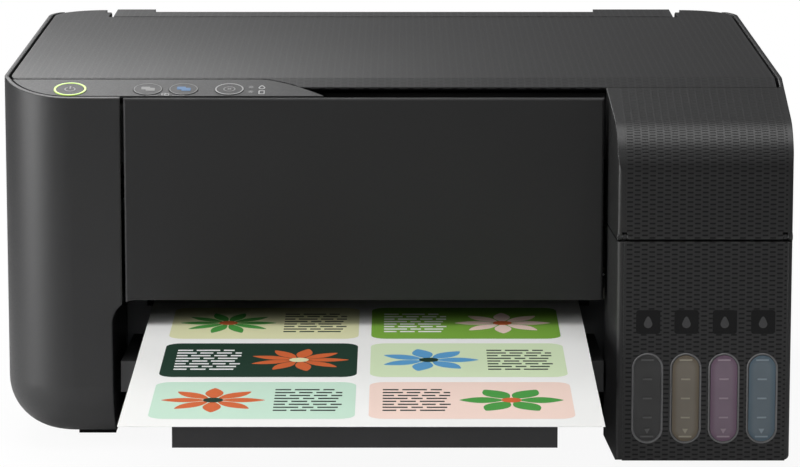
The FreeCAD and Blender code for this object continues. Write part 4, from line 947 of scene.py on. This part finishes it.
def studio_lamps(scene):
    """Soft lamps round the printer."""
    # Each lamp: its place, what it is aimed at, its width and height in metres, and its power in watts
    lamps = {
        "back_left_softbox": ((-0.7, 1.2, 0.55), (0, 0, 0.18), (0.7, 0.6), 2.0),
        "back_high_softbox": ((-0.45, 0.75, 0.95), (0, 0, 0.18), (0.6, 0.5), 3.4),
        "back_wide_softbox": ((-0.5, 1.15, 1.05), (0, 0, 0.18), (0.9, 0.5), 4.4),
        "left_softbox": ((-1.3, -0.42, 0.36), (-0.15, -0.03, 0.1), (0.7, 0.9), 17.0),
        "overhead_softbox": ((0.05, -0.3, 1.45), (0, -0.2, 0.1), (1.2, 1.2), 10.5),
        "front_fill": ((-0.3, -1.5, 0.9), (0, -0.1, 0.1), (1.0, 0.5), 2.6),
        "right_fill": ((1.4, -0.3, 0.8), (0.1, 0, 0.1), (0.8, 0.8), 1.4),
    }
    for name, (at, target, size, power) in lamps.items():
        light = bpy.data.lights.new(name, "AREA")
        light.shape = "RECTANGLE"
        light.size, light.size_y = size
        light.energy = power
        lamp = bpy.data.objects.new(name, light)
        scene.collection.objects.link(lamp)
        lamp.location = at
        lamp.visible_camera = False
        away = Vector(at) - Vector(target)
        lamp.rotation_euler = away.to_track_quat("Z", "Y").to_euler()


def studio_camera(scene):
    """The camera, straight in front and looking down."""
    stage = scene.printer_stage
    view = bpy.data.cameras.new("camera")
    view.sensor_width = 36
    view.lens = stage.lens
    view.clip_end = 100
    camera = bpy.data.objects.new("camera", view)
    scene.collection.objects.link(camera)
    camera.location = stage.camera
    camera.rotation_euler = (math.pi / 2 - stage.pitch, 0, 0)
    scene.camera = camera


class PRINTER_OT_stage(bpy.types.Operator):
    """Sets the world, the floor, the lamps and the camera"""

    bl_idname = "printer.stage"
    bl_label = "Stage"

    def execute(self, context):
        context.scene.view_settings.view_transform = "Standard"
        studio_world(context.scene)
        studio_floor(context.scene)
        studio_lamps(context.scene)
        studio_camera(context.scene)
        return {"FINISHED"}


class PRINTER_PT_panel(bpy.types.Panel):
    """Lists the steps that dress the printer"""

    bl_idname = "PRINTER_PT_panel"
    bl_label = "Ink tank printer"
    bl_space_type = "VIEW_3D"
    bl_region_type = "UI"
    bl_category = "Printer"

    def draw(self, context):
        layout = self.layout
        for step in STEPS:
            layout.operator(step.bl_idname)
        for group in (context.scene.printer_finish, context.scene.printer_stage):
            for name in group.__annotations__:
                layout.prop(group, name)


STEPS = (
    PRINTER_OT_case, PRINTER_OT_controls, PRINTER_OT_paper_path, PRINTER_OT_works, PRINTER_OT_ink_tubes,
    PRINTER_OT_panel_marks, PRINTER_OT_tank_windows, PRINTER_OT_sheet_print, PRINTER_OT_stage,
)
CLASSES = (PrinterFinish, PrinterStage, *STEPS, PRINTER_PT_panel)


def register():
    """Adds the classes and the scene's settings to Blender."""
    for made in CLASSES:
        bpy.utils.register_class(made)
    bpy.types.Scene.printer_finish = bpy.props.PointerProperty(type=PrinterFinish)
    bpy.types.Scene.printer_stage = bpy.props.PointerProperty(type=PrinterStage)


def unregister():
    """Takes the settings and the classes out again."""
    del bpy.types.Scene.printer_stage
    del bpy.types.Scene.printer_finish
    for made in reversed(CLASSES):
        bpy.utils.unregister_class(made)


def main():
    """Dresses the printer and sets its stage."""
    register()
    bpy.ops.printer.case()
    bpy.ops.printer.controls()
    bpy.ops.printer.paper_path()
    bpy.ops.printer.works()
    bpy.ops.printer.ink_tubes()
    bpy.ops.printer.panel_marks()
    bpy.ops.printer.tank_windows()
    bpy.ops.printer.sheet_print()
    bpy.ops.printer.stage()


if __name__ == "__main__":
    main()
